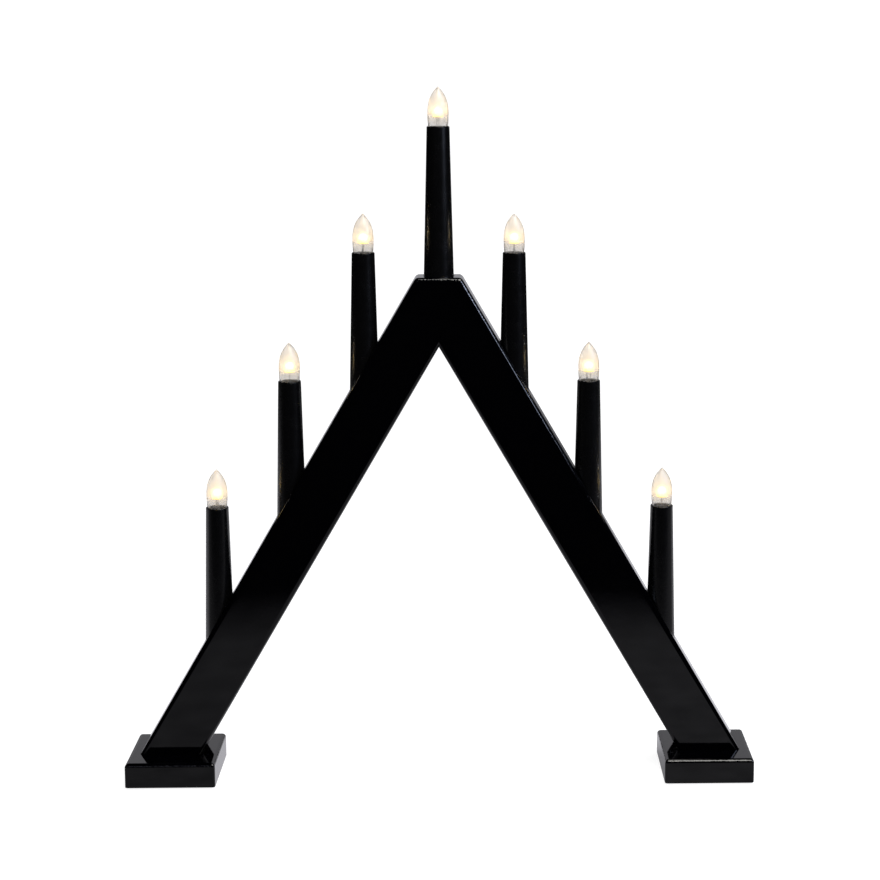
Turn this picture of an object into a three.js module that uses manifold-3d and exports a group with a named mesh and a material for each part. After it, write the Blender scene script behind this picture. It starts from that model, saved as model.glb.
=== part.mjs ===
// Advent candle holder: two lacquered wooden beams mitred into an A stand on two square feet,
// and carry seven tapered plastic candles, each with a lamp holder and a clear screw-in E10 LED bulb.
// Millimetres. X runs left to right, Y from front to back, Z up. The origin is on the table,
// in the middle of the stand.

import * as THREE from 'three';
import { mergeVertices } from 'three/addons/utils/BufferGeometryUtils.js';
import Module from 'manifold-3d';

const wasm = await Module();
wasm.setup();

// Clearance between turned pieces that seat in each other
const clearance = 0.3;

// Stand
const footSpan = 392.5;           // between the middles of the two feet
const beamOutset = 1.75;          // from a foot's middle out to where its beam's centre line meets it
const axisApexHeight = 360;       // where the two beams' centre lines meet, above the table
const crestFlat = 32.8;           // width of the flat on top, between the sloping faces
const beamWidth = 39.4;           // across the sloping faces
const boreWall = 2.85;            // wood left in front of and behind a candle's bore
const beamEdge = 3.5;             // rounding of the long edges
const crestRounding = 0.5;        // the flat's two corners are rounded by this more than the edges

// Feet
const footSize = 65.3;
const footThickness = 18;
const footTopEdge = 3;            // rounding of the four upper edges
const footCorner = 1.8;           // rounding of the four upright corners
const padThickness = 1.2;
const padInset = 4;

// Foot screws, two in each foot, driven up into the beam's end
const screwDiameter = 4;
const screwHeadDiameter = 8;
const screwHeadHeight = 2.4;
const screwGrip = 22;             // length in the beam
const screwPointLength = 4;
const screwRecess = 0.3;          // head below the foot's underside
const screwOffsets = [-12, 4];    // from the beam's centre line, outwards

// Dowels across the mitre
const dowelDiameter = 5;
const dowelLength = 30;
const dowelFrontWood = 2.3;       // wood left between a dowel and the front face
const dowelAboveCorner = 14;      // lower dowel, above the beams' inner corner
const dowelBelowCrest = 18;       // upper dowel, below the flat on top

// Candles: a tapered sleeve, the same seven times
const candlesPerBeam = 3;
const lastCandleToFoot = 36;      // from the lowest candle's axis to the foot of the beam's centre line
const sleeveLength = 110;
const sleeveBaseDiameter = 21.7;
const sleeveLip = 0.7;            // wall at the mouth
const sleeveWall = 1.5;           // wall of the lower part
const sleeveRimRounding = 0.4;
const crestSeatDepth = 3.3;       // how deep the middle candle stands in the flat on top
const beamSeatDepth = 28.4;       // how deep a side candle stands, on its own axis

// Lamp holder in the sleeve
const holderDepth = 9;            // its shoulder below the sleeve's mouth
const holderLength = 17;          // below the shoulder
const holderFlange = 1.2;
const holderWall = 1.5;
const holderFloor = 3.5;

// Bulb: screw cap, clear envelope and LED
const capDiameter = 9.5;          // E10
const capWall = 0.4;
const capLength = 10.5;           // threaded part
const capFlareDiameter = 12.2;
const capFlareHeight = 1.6;
const capFloor = 2.3;
const capInsulatorHeight = 1.5;
const contactDiameter = 4;
const contactHeight = 2.2;
const threadPlay = 0.35;          // between the cap and its holder
const envelopeSeatDiameter = 11.4;
const envelopeDiameter = 15.1;
const envelopeWidestHeight = 9.5; // above the sleeve's mouth
const envelopeTipHeight = 28;     // above the sleeve's mouth
const envelopeTipDiameter = 1;
const envelopeWall = 0.9;
const envelopeFullness = 0.15;    // how little the glass narrows low in the sleeve
const flameShoulder = 0.44;       // how far up its taper the glass stays upright, as a share of the taper
const flameBend = [0.74, 0.72];   // where the taper turns in, as shares of its radius and height
const ledFootLength = 5;
const ledLeadWidth = 0.5;
const ledLeadSpacing = 2.54;
const ledFlangeDiameter = 7.4;
const ledFlangeHeight = 1;
const ledFlangeRise = 6.4;        // underside of the flange above the sleeve's mouth
const ledLensDiameter = 6;
const ledLensRise = 13.6;         // top of the lens above the sleeve's mouth

// Wiring: a groove in the back of each beam, closed by a flush strip
const grooveWidth = 8;
const grooveDepthInBeam = 6;      // the groove's lower edge from the beam's inner face
const grooveFloorY = 3.2;         // the groove's floor behind the candles' axes
const stripLap = 2;               // the strip's ledge on each side of the groove
const stripThickness = 1.6;
const wireHoleDiameter = 11;
const loomThickness = 1.6;
const loomWidth = 2.4;
const grommetFlangeDiameter = 13;
const grommetFlangeThickness = 1.6;
const grommetNeckDiameter = 8;
const grommetNeckLength = 6;
const grommetBoreDiameter = 3.8;

// Facets
const mergeDistance = 1e-4;
const domeAngles = [60, 30];
const candleSides = 18;
const lampSides = 16;
const smallSides = 12;
const edgeSteps = 3;

// Values that follow from the sizes above
const footTop = padThickness + footThickness;
const beamSpan = footSpan + 2 * beamOutset;
const slope = beamSpan / 2 / (axisApexHeight - footTop);
const lean = Math.atan(slope);
const sleeveBaseRadius = sleeveBaseDiameter / 2;
const boreRadius = sleeveBaseRadius + clearance;
const beamDepth = 2 * (boreRadius + boreWall);
const beamBack = beamDepth / 2;
const grooveRun = [grooveDepthInBeam, grooveDepthInBeam + grooveWidth];
const stripRun = [grooveRun[0] - stripLap, grooveRun[1] + stripLap];
const capRadius = capDiameter / 2;
const socketRadius = capRadius + threadPlay;
const holderRadius = socketRadius + holderWall;
const grooveMiddle = grooveDepthInBeam + grooveWidth / 2;
const candlePitch = (beamSpan / 2 - lastCandleToFoot) / candlesPerBeam;
const candleNumbers = Array.from({ length: 2 * candlesPerBeam + 1 }, (_, i) => i - candlesPerBeam);

// Height of a line that lies `depth` inside a beam's inner face and runs along the beam,
// at a distance `reach` from the middle of the stand.
function lineHeight(depth, reach) {
  return axisApexHeight + (depth - beamWidth / 2) / Math.sin(lean) - reach / slope;
}

// Distance from the middle at which the same line reaches a height.
function lineReach(depth, height) {
  return (lineHeight(depth, 0) - height) * slope;
}

const crestHeight = lineHeight(beamWidth, crestFlat / 2);
const dowelHeights = [lineHeight(0, 0) + dowelAboveCorner, crestHeight - dowelBelowCrest];

// The strips end just past the lowest candle's wires, and the cord leaves the right beam next to that.
const stripEnd = candlesPerBeam * candlePitch + wireHoleDiameter / 2;
const outletX = stripEnd + stripLap + grommetFlangeDiameter / 2;
const outletHeight = lineHeight(grooveMiddle, outletX);

// Materials
const lacquer = new THREE.MeshStandardMaterial({ color: 0x060606, roughness: 0.08, metalness: 0 });
const bareWood = new THREE.MeshStandardMaterial({ color: 0xc9a877, roughness: 0.7, metalness: 0 });
const satinPlastic = new THREE.MeshStandardMaterial({ color: 0x0b0b0b, roughness: 0.35, metalness: 0 });
const holderPlastic = new THREE.MeshStandardMaterial({ color: 0x17181a, roughness: 0.5, metalness: 0 });
const felt = new THREE.MeshStandardMaterial({ color: 0x1b1b1b, roughness: 1, metalness: 0 });
const zincSteel = new THREE.MeshStandardMaterial({ color: 0xb8bbbe, roughness: 0.35, metalness: 1 });
const nickelBrass = new THREE.MeshStandardMaterial({ color: 0xc8c2b0, roughness: 0.28, metalness: 1 });
const solder = new THREE.MeshStandardMaterial({ color: 0xa9abad, roughness: 0.4, metalness: 1 });
const cableRubber = new THREE.MeshStandardMaterial({ color: 0x101010, roughness: 0.6, metalness: 0 });
const clearEnvelope = new THREE.MeshStandardMaterial({
  color: 0xffffff, roughness: 0.03, metalness: 0, transparent: true, opacity: 0.25,
});
const ledResin = new THREE.MeshStandardMaterial({
  color: 0xffe2b0, roughness: 0.2, metalness: 0, emissive: 0xffc477, emissiveIntensity: 1,
});

// A closed geometry as a solid that can be cut and joined.
function solid(geometry) {
  geometry.deleteAttribute('normal');
  geometry.deleteAttribute('uv');
  const merged = mergeVertices(geometry, mergeDistance);
  const index = merged.getIndex().array;
  const triangles = [];
  for (let i = 0; i < index.length; i += 3) {
    const [a, b, c] = [index[i], index[i + 1], index[i + 2]];
    if (a !== b && b !== c && c !== a) triangles.push(a, b, c);
  }
  return new wasm.Manifold(new wasm.Mesh({
    numProp: 3,
    vertProperties: Float32Array.from(merged.getAttribute('position').array),
    triVerts: Uint32Array.from(triangles),
  }));
}

// The solid as a geometry again.
function geometryOf(body) {
  const mesh = body.getMesh();
  const geometry = new THREE.BufferGeometry();
  geometry.setAttribute('position', new THREE.BufferAttribute(mesh.vertProperties, 3));
  geometry.setIndex(new THREE.BufferAttribute(mesh.triVerts, 1));
  geometry.computeVertexNormals();
  return geometry;
}

// A piece turned on a lathe about a vertical axis at x. The profile's points are [radius, height].
function turned(profile, sides, x = 0) {
  const points = profile.map(([radius, height]) => new THREE.Vector2(radius, height));
  const geometry = new THREE.LatheGeometry(points, sides);
  geometry.rotateX(Math.PI / 2);
  geometry.translate(x, 0, 0);
  return solid(geometry);
}

// A plain round hole or pin about a vertical axis.
function upright(radius, low, high, sides, x = 0) {
  return turned([[0, low], [radius, low], [radius, high], [0, high]], sides, x);
}

// An outline in the X-Z plane, given a thickness from the front to the back.
function slab(points, front, back) {
  const shape = new THREE.Shape(points.map(([x, z]) => new THREE.Vector2(x, z)));
  const geometry = new THREE.ExtrudeGeometry(shape, { depth: back - front, bevelEnabled: false });
  geometry.rotateX(Math.PI / 2);
  geometry.translate(0, back, 0);
  return solid(geometry);
}

// A stretch along one beam, between two depths from its inner face, with upright ends.
function alongBeam(side, from, to, run, front, back) {
  const corners = [[from, run[0]], [to, run[0]], [to, run[1]], [from, run[1]]];
  return slab(corners.map(([x, depth]) => [side * x, lineHeight(depth, x)]), front, back);
}

// The whole A before it is cut into two beams, with rounded edges and a flat on top.
function wholeA() {
  const low = footTop - footThickness;
  const radius = beamEdge + crestRounding;
  const arcX = lineReach(beamWidth, crestHeight) - radius * Math.tan((Math.PI / 2 - lean) / 2);
  const arcZ = crestHeight - radius;
  const shape = new THREE.Shape();
  shape.moveTo(0, lineHeight(0, 0));
  shape.lineTo(-lineReach(0, low), low);
  shape.lineTo(-lineReach(beamWidth, low), low);
  shape.absarc(-arcX, arcZ, radius, Math.PI - lean, Math.PI / 2, true);
  shape.absarc(arcX, arcZ, radius, Math.PI / 2, lean, true);
  shape.lineTo(lineReach(beamWidth, low), low);
  shape.lineTo(lineReach(0, low), low);
  const geometry = new THREE.ExtrudeGeometry(shape, {
    depth: beamDepth - 2 * beamEdge,
    bevelThickness: beamEdge,
    bevelSize: beamEdge,
    bevelOffset: -beamEdge,
    bevelSegments: edgeSteps,
    curveSegments: 1,
  });
  geometry.rotateX(Math.PI / 2);
  geometry.translate(0, beamDepth / 2 - beamEdge, 0);
  return solid(geometry);
}

// Where each candle stands: its axis and the height of its foot.
function candleSeat(number) {
  const x = number * candlePitch;
  const onBeam = lineHeight(beamWidth, Math.abs(x)) - beamSeatDepth;
  const floor = number === 0 ? crestHeight - crestSeatDepth : onBeam;
  return { x, floor, mouth: floor + sleeveLength };
}

// A candle's stepped bore: the seat for the sleeve, and the wires' hole down to the groove.
function candleBore(number) {
  const { x, floor, mouth } = candleSeat(number);
  const seat = upright(boreRadius, floor, mouth, candleSides, x);
  return seat.add(upright(wireHoleDiameter / 2, lineHeight(grooveMiddle, Math.abs(x)), mouth, candleSides, x));
}

// The groove for the wires in the back of one beam, with the ledge for its strip.
function wireGroove(side) {
  const past = beamBack + beamEdge;
  const end = stripEnd + clearance;
  const groove = alongBeam(side, -beamEdge, end, grooveRun, grooveFloorY, past);
  return groove.add(alongBeam(side, -beamEdge, end, stripRun, beamBack - stripThickness - clearance, past));
}

// The cord's way out: the hidden end of the groove, and the grommet's hole in the right beam's back.
function cordOutlet() {
  const hole = grommetNeckDiameter / 2 + clearance;
  const tunnel = alongBeam(1, stripEnd, outletX, grooveRun, grooveFloorY, beamBack - beamEdge);
  return tunnel.add(crosswise(hole, grooveFloorY, beamBack + beamEdge, lampSides, outletX, outletHeight));
}

// A round hole or pin that runs from the front to the back.
function crosswise(radius, front, back, sides, x, z) {
  const geometry = new THREE.CylinderGeometry(radius, radius, back - front, sides);
  geometry.translate(x, (front + back) / 2, z);
  return solid(geometry);
}

// A dowel, or the hole for it, across the mitre.
function dowelRod(radius, length, height) {
  const geometry = new THREE.CylinderGeometry(radius, radius, length, smallSides);
  geometry.rotateZ(Math.PI / 2);
  const y = -beamDepth / 2 + dowelFrontWood + clearance + dowelDiameter / 2;
  geometry.translate(0, y, height);
  return solid(geometry);
}

// A countersunk screw, or with `play` the hole that it goes in, in one foot.
function footScrew(side, offset, play) {
  const x = side * (beamSpan / 2 + offset);
  const under = padThickness + screwRecess;
  const start = play ? 0 : under;
  const head = screwHeadDiameter / 2 + play;
  const shank = screwDiameter / 2 + play;
  const end = footTop + screwGrip;
  const neck = under + screwHeadHeight;
  return turned([
    [0, start], [head, start], [head, under + play], [shank, neck + play],
    [shank, end - screwPointLength], [play, end + play], [0, end + play],
  ], smallSides, x);
}

// One beam: half of the A, cut at the mitre and at the foot, bored, grooved and drilled.
function beam(side) {
  const low = Math.min(0, side) * beamSpan;
  const half = slab([
    [low, footTop], [low + beamSpan, footTop],
    [low + beamSpan, crestHeight + beamEdge], [low, crestHeight + beamEdge],
  ], -beamDepth, beamDepth);
  let body = wholeA().intersect(half);
  for (const number of candleNumbers) {
    if (number * side >= 0) body = body.subtract(candleBore(number));
  }
  body = body.subtract(wireGroove(side));
  if (side > 0) body = body.subtract(cordOutlet());
  for (const height of dowelHeights) {
    body = body.subtract(dowelRod(dowelDiameter / 2 + clearance, dowelLength + 2 * clearance, height));
  }
  for (const offset of screwOffsets) {
    body = body.subtract(footScrew(side, offset, clearance));
  }
  return geometryOf(body);
}

// A bar with a rounded top along both sides, as wide and as long as a foot.
function footBar() {
  const half = footSize / 2;
  const section = new THREE.Shape();
  section.moveTo(-half, padThickness);
  section.lineTo(half, padThickness);
  section.absarc(half - footTopEdge, footTop - footTopEdge, footTopEdge, 0, Math.PI / 2);
  section.absarc(footTopEdge - half, footTop - footTopEdge, footTopEdge, Math.PI / 2, Math.PI);
  const geometry = new THREE.ExtrudeGeometry(section, {
    depth: footSize, bevelEnabled: false, curveSegments: edgeSteps,
  });
  geometry.rotateX(Math.PI / 2);
  geometry.translate(0, half, 0);
  return geometry;
}

// A square column with a foot's rounded upright corners.
function footColumn() {
  const centre = footSize / 2 - footCorner;
  const plan = new THREE.Shape();
  [[1, 1], [-1, 1], [-1, -1], [1, -1]].forEach(([x, y], quarter) => {
    plan.absarc(x * centre, y * centre, footCorner, quarter * Math.PI / 2, (quarter + 1) * Math.PI / 2);
  });
  const geometry = new THREE.ExtrudeGeometry(plan, {
    depth: footThickness, bevelEnabled: false, curveSegments: edgeSteps,
  });
  geometry.translate(0, 0, padThickness);
  return geometry;
}

// One square foot with its screw holes. Its rounded upper edges meet in mitres at the corners.
function foot(side) {
  const crossing = solid(footBar()).intersect(solid(footBar().rotateZ(Math.PI / 2)));
  let body = crossing.intersect(solid(footColumn())).translate(side * footSpan / 2, 0, 0);
  for (const offset of screwOffsets) {
    body = body.subtract(footScrew(side, offset, clearance));
  }
  return geometryOf(body);
}

// The felt sheet under one foot.
function footPad(side) {
  const half = footSize / 2 - padInset;
  const x = side * footSpan / 2;
  return geometryOf(slab([
    [x - half, 0], [x + half, 0], [x + half, padThickness], [x - half, padThickness],
  ], -half, half));
}

// The strip that closes one beam's groove, flush with the back.
function coverStrip(side) {
  const run = [stripRun[0] + clearance, stripRun[1] - clearance];
  return geometryOf(alongBeam(side, clearance, stripEnd, run, beamBack - stripThickness, beamBack));
}

// The leads of one beam: a run in the groove, and a riser to each lamp holder.
function wireLoom(side) {
  const front = grooveFloorY + clearance;
  const half = loomWidth / 2;
  const run = [grooveMiddle - half, grooveMiddle + half];
  const start = side < 0 ? 0 : half + clearance;
  const end = side < 0 ? candlesPerBeam * candlePitch : outletX;
  let body = alongBeam(side, start, end, run, front, front + loomThickness);
  for (const number of candleNumbers) {
    if (number * side < 0 || (number === 0 && side > 0)) continue;
    const { x, mouth } = candleSeat(number);
    const low = lineHeight(grooveMiddle, Math.abs(x));
    const high = mouth - holderDepth - holderLength;
    body = body.add(slab([
      [x - half, low], [x + half, low], [x + half, high], [x - half, high],
    ], front, front + loomThickness));
  }
  return geometryOf(body);
}

// The rubber grommet where the cord leaves the right beam's back.
function cordGrommet() {
  const inner = beamBack - grommetNeckLength;
  const profile = [
    [grommetBoreDiameter / 2, inner],
    [grommetNeckDiameter / 2, inner],
    [grommetNeckDiameter / 2, beamBack],
    [grommetFlangeDiameter / 2, beamBack],
    [grommetFlangeDiameter / 2 - grommetFlangeThickness / 2, beamBack + grommetFlangeThickness],
    [grommetBoreDiameter / 2, beamBack + grommetFlangeThickness],
    [grommetBoreDiameter / 2, inner],
  ];
  const points = profile.map(([radius, along]) => new THREE.Vector2(radius, along));
  const geometry = new THREE.LatheGeometry(points, smallSides);
  geometry.translate(outletX, 0, outletHeight);
  return geometryOf(solid(geometry));
}

// Height of the bulb's pieces above the sleeve's mouth.
const shoulder = -holderDepth;
const holderTop = shoulder + holderFlange;
const holderBottom = shoulder - holderLength;
const socketFloor = holderBottom + holderFloor;
const capFlareLow = holderTop + clearance;
const capTop = capFlareLow + capFlareHeight;
const capBottom = capFlareLow - capLength;
const insulatorBottom = capBottom - capInsulatorHeight;
const capInside = capBottom + capFloor;

// The clear envelope's outline from its seat on the cap to its tip, moved inwards by `inset`.
function envelopeProfile(inset, steps) {
  const seat = envelopeSeatDiameter / 2 - inset;
  const widest = envelopeDiameter / 2 - inset;
  const top = envelopeTipHeight - 2 * inset;
  const tip = envelopeTipDiameter / 2;
  const waist = envelopeWidestHeight;
  const rise = top - tip - waist;
  const [bendRadius, bendHeight] = flameBend;
  const lower = new THREE.CubicBezierCurve(
    new THREE.Vector2(seat, capTop),
    new THREE.Vector2(widest - envelopeFullness, capTop / 2),
    new THREE.Vector2(widest, waist / 2),
    new THREE.Vector2(widest, waist),
  );
  const upper = new THREE.CubicBezierCurve(
    new THREE.Vector2(widest, waist),
    new THREE.Vector2(widest, waist + rise * flameShoulder),
    new THREE.Vector2(widest * bendRadius, waist + rise * bendHeight),
    new THREE.Vector2(tip, top - tip),
  );
  const points = [...lower.getPoints(steps), ...upper.getPoints(steps + 1).slice(1)];
  return [...points.map((point) => [point.x, point.y]), [0, top]];
}

// Radius of the envelope where it passes the sleeve's mouth.
function envelopeRadiusAtMouth() {
  const profile = envelopeProfile(0, lampSides);
  const above = profile.findIndex(([, height]) => height > 0);
  const [radiusBelow, heightBelow] = profile[above - 1];
  const [radiusAbove, heightAbove] = profile[above];
  return radiusBelow + (radiusAbove - radiusBelow) * -heightBelow / (heightAbove - heightBelow);
}

const mouthRadius = envelopeRadiusAtMouth() + clearance;
const mouthOuterRadius = mouthRadius + sleeveLip;

// Outer radius of the tapered sleeve at a height below its mouth.
function sleeveRadius(height) {
  return mouthOuterRadius + (sleeveBaseRadius - mouthOuterRadius) * -height / sleeveLength;
}

// The tapered candle sleeve, with a shoulder inside for the lamp holder.
function candleSleeve() {
  const socket = holderRadius + clearance;
  const foot = -sleeveLength;
  return turned([
    [sleeveBaseRadius - sleeveWall, foot],
    [sleeveBaseRadius, foot],
    [sleeveRadius(-sleeveRimRounding), -sleeveRimRounding],
    [mouthOuterRadius - sleeveRimRounding, 0],
    [mouthRadius, 0],
    [mouthRadius, shoulder],
    [socket, shoulder],
    [socket, holderBottom],
    [sleeveRadius(holderBottom) - sleeveWall, holderBottom],
    [sleeveBaseRadius - sleeveWall, foot],
  ], candleSides);
}

// The lamp holder, hung by its flange on the sleeve's shoulder.
function lampHolder() {
  return turned([
    [0, holderBottom],
    [holderRadius, holderBottom],
    [holderRadius, shoulder],
    [mouthRadius - clearance, shoulder],
    [mouthRadius - clearance, holderTop],
    [socketRadius, holderTop],
    [socketRadius, socketFloor],
    [contactDiameter / 2, socketFloor],
    [contactDiameter / 2, insulatorBottom - contactHeight - clearance],
    [0, insulatorBottom - contactHeight - clearance],
  ], lampSides);
}

// The bulb's screw cap: flared rim, threaded shell and insulator, hollow for the LED's foot.
function bulbCap() {
  return turned([
    [0, insulatorBottom],
    [contactDiameter / 2 + capWall, insulatorBottom],
    [capRadius - capWall, capBottom],
    [capRadius, capBottom],
    [capRadius, capFlareLow],
    [capFlareDiameter / 2, capFlareLow],
    [capFlareDiameter / 2, capTop],
    [capRadius - capWall, capTop],
    [capRadius - capWall, capInside],
    [0, capInside],
  ], lampSides);
}

// The solder contact under the cap.
function bulbContact() {
  const bottom = insulatorBottom - contactHeight;
  return turned([
    [0, bottom],
    [contactDiameter / 4, bottom],
    [contactDiameter / 2, bottom + contactHeight / 2],
    [contactDiameter / 2, insulatorBottom],
    [0, insulatorBottom],
  ], smallSides);
}

// The clear envelope, open below where it stands on the cap.
function bulbEnvelope() {
  const outside = turned([[0, capTop], ...envelopeProfile(0, 3)], lampSides);
  const inside = envelopeProfile(envelopeWall, 2);
  const below = capTop - envelopeWall;
  return outside.subtract(turned([[0, below], [inside[0][0], below], ...inside], lampSides));
}

// The LED on its two leads, with a foot that stands in the cap.
function bulbLed() {
  const footRadius = capRadius - capWall - clearance;
  const lens = ledLensDiameter / 2;
  const flangeTop = ledFlangeRise + ledFlangeHeight;
  const footEnd = capInside + ledFootLength;
  const dome = domeAngles.map((degrees) => THREE.MathUtils.degToRad(degrees));
  let body = turned([
    [0, ledFlangeRise],
    [ledFlangeDiameter / 2, ledFlangeRise],
    [ledFlangeDiameter / 2, flangeTop],
    [lens, flangeTop],
    [lens, ledLensRise - lens],
    ...dome.map((angle) => [lens * Math.sin(angle), ledLensRise - lens + lens * Math.cos(angle)]),
    [0, ledLensRise],
  ], smallSides);
  body = body.add(upright(footRadius, capInside, footEnd, smallSides));
  for (const side of [-1, 1]) {
    const x = side * ledLeadSpacing / 2;
    const half = ledLeadWidth / 2;
    body = body.add(slab([
      [x - half, capInside], [x + half, capInside], [x + half, flangeTop], [x - half, flangeTop],
    ], -half, half));
  }
  return body;
}

const stand = new THREE.Group();

function place(parent, name, geometry, material) {
  const mesh = new THREE.Mesh(geometry, material);
  mesh.name = name;
  parent.add(mesh);
}

for (const [side, name] of [[-1, 'left'], [1, 'right']]) {
  place(stand, `${name}_beam`, beam(side), lacquer);
  place(stand, `${name}_foot`, foot(side), lacquer);
  place(stand, `${name}_foot_pad`, footPad(side), felt);
  place(stand, `${name}_cover_strip`, coverStrip(side), satinPlastic);
  place(stand, `${name}_wire_loom`, wireLoom(side), cableRubber);
  screwOffsets.forEach((offset, i) => {
    place(stand, `${name}_foot_screw_${i + 1}`, geometryOf(footScrew(side, offset, 0)), zincSteel);
  });
}
dowelHeights.forEach((height, i) => {
  place(stand, `mitre_dowel_${i + 1}`, geometryOf(dowelRod(dowelDiameter / 2, dowelLength, height)), bareWood);
});
place(stand, 'cord_grommet', cordGrommet(), cableRubber);

const lampPieces = [
  ['candle', 'sleeve', geometryOf(candleSleeve()), satinPlastic],
  ['candle', 'lamp_holder', geometryOf(lampHolder()), holderPlastic],
  ['bulb', 'cap', geometryOf(bulbCap()), nickelBrass],
  ['bulb', 'contact', geometryOf(bulbContact()), solder],
  ['bulb', 'envelope', geometryOf(bulbEnvelope()), clearEnvelope],
  ['bulb', 'led', geometryOf(bulbLed()), ledResin],
];
candleNumbers.forEach((number, i) => {
  const { x, mouth } = candleSeat(number);
  const candle = new THREE.Group();
  candle.position.set(x, 0, mouth);
  for (const [owner, piece, geometry, material] of lampPieces) {
    place(candle, `${owner}_${i + 1}_${piece}`, geometry, material);
  }
  stand.add(candle);
});

export default stand;
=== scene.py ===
"""Seven-light advent candle holder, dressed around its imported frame.

Metres, +X to the right seen from the front, +Y to the back, +Z up. Two lacquered beams, two feet, seven
tapered sleeves with lamp holders, seven bulbs and the cord's grommet are surfaces worked out on grids. The
pads, screws, dowels, leads and cover strips stay the frame's own meshes, with materials of their own.
"""

import math

import bpy
import numpy as np
from bpy.props import FloatProperty, FloatVectorProperty, IntProperty, PointerProperty
from mathutils import Matrix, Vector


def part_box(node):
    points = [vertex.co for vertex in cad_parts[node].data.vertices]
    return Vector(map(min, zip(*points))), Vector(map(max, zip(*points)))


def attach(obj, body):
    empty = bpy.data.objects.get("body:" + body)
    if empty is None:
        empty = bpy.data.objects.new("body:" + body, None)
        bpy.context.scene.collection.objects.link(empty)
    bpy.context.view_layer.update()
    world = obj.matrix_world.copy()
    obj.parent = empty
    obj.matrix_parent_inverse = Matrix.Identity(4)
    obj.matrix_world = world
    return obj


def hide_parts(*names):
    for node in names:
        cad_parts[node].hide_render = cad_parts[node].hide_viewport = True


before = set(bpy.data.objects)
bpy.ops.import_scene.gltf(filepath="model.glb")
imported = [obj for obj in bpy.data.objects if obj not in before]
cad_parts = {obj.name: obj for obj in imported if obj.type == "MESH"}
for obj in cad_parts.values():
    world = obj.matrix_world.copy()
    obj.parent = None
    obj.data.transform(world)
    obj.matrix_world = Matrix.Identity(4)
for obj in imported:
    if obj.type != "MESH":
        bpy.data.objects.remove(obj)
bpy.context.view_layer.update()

bl_info = {
    "name": "Advent candle holder",
    "version": (1, 0, 0),
    "blender": (4, 5, 0),
    "location": "View3D > Sidebar > Candle Holder",
    "description": "Builds the beams, feet, candles and bulbs of a seven-light advent candle holder",
    "category": "Add Mesh",
}

MM = 0.001
IMAGE_SIDE = 880
CANDLES = range(1, 8)
SIDES = {"left": -1, "right": 1}
LEAD_TURNS = (70, 95, 80, 60, 85, 10, 75)   # degrees from side by side, as each bulb happens to be screwed in
CREASE = math.radians(35)                   # faces that meet at more than this keep a sharp edge between them

# Roundings of small edges
FINE_EDGE = 0.1 * MM
EASED_EDGE = 0.2 * MM
SOFT_EDGE = 0.3 * MM

# Facets round each turned piece or hole, and points along each curve
FACETS = {
    "candle_bore": 96, "cap": 72, "holder": 64, "grommet": 64, "grommet_hole": 48, "led": 48, "led_foot": 32,
    "contact": 32, "dowel_hole": 32, "screw_hole": 32, "rib": 6,
}
STEPS = {"thread": 90, "outside": 26, "inside": 14, "tip": 5, "lens": 13, "drop": 9, "lead": 15, "bend": 25}


# Settings that a user would change

def length(name, description, millimetres):
    """A length property whose default is given in millimetres."""
    return FloatProperty(name=name, description=description, default=millimetres * MM, unit="LENGTH",
                         precision=5)


def share(name, description, default, soft_max=1.0):
    """A number that a slider sets, such as a roughness or a strength."""
    return FloatProperty(name=name, description=description, default=default, soft_min=0.0,
                         soft_max=soft_max, subtype="FACTOR")


def angle(name, description, degrees):
    """An angle property whose default is given in degrees."""
    return FloatProperty(name=name, description=description, default=math.radians(degrees), unit="ROTATION",
                         precision=4)


def pixels(name, description, default):
    """A place in the picture."""
    return FloatProperty(name=name, description=description, default=default, subtype="PIXEL")


def linear(hex_colour):
    """An sRGB hex colour as linear red, green, blue and alpha."""
    values = [int(hex_colour[i:i + 2], 16) / 255 for i in (1, 3, 5)]
    return [v / 12.92 if v <= 0.04045 else ((v + 0.055) / 1.055) ** 2.4 for v in values] + [1.0]


def colour(name, description, hex_colour):
    """A colour property whose default is an sRGB hex value."""
    return FloatVectorProperty(name=name, description=description, default=linear(hex_colour), size=4,
                               min=0.0, max=1.0, subtype="COLOR")


class StandSettings(bpy.types.PropertyGroup):
    """Sizes of the beams and feet"""
    beam_width: length("Beam width", "Across the sloping faces", 39.4)
    beam_outset: length("Beam outset", "From a foot's middle out to its beam's centre line", 1.75)
    axis_apex: length("Axis apex", "Where the beams' centre lines meet, above the table", 360)
    beam_edge: length("Beam edge", "Rounding of the beams' long edges", 3.5)
    crest_rounding: length("Crest rounding", "By how much more the crest's corners are rounded", 0.5)
    foot_top_edge: length("Foot top edge", "Rounding of the feet's upper edges", 3)
    foot_low_edge: length("Foot low edge", "Rounding of the feet's lower edges", 0.6)
    foot_corner: length("Foot corner", "Rounding of the feet's upright corners", 1.8)
    foot_mitre: length("Foot mitre", "Rounding left where two upper edges meet on top", 0.5)
    play: length("Play", "Clearance round pieces that seat in each other", 0.3)
    wire_hole: length("Wire hole", "Diameter of the holes below the candles", 11)
    groove_depth: length("Groove depth", "From the beam's inner face to the wiring groove", 6)
    groove_width: length("Groove width", "Width of the wiring groove", 8)
    groove_floor: length("Groove floor", "Depth of the groove's floor behind the candles' axes", 3.2)
    strip_lap: length("Strip lap", "The cover strip's ledge on each side of the groove", 2)
    grommet_neck: length("Grommet neck", "Diameter of the grommet's neck in the beam's back", 8)
    grommet_bore: length("Grommet bore", "Diameter of the cord's way through the grommet", 3.8)
    grommet_draft: length("Grommet draft", "By how much the grommet's flange narrows outwards", 0.5)
    grommet_crown: length("Grommet crown", "Rounding of the grommet's flange", 0.8)
    grommet_lip: length("Grommet lip", "Rounding of the grommet's bore at its outer end", 0.6)
    grommet_entry: length("Grommet entry", "Rounding of the grommet's bore at its inner end", 0.4)
    edge_steps: IntProperty(name="Edge steps", description="Facets in a rounded edge", default=8, min=2)


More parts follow.
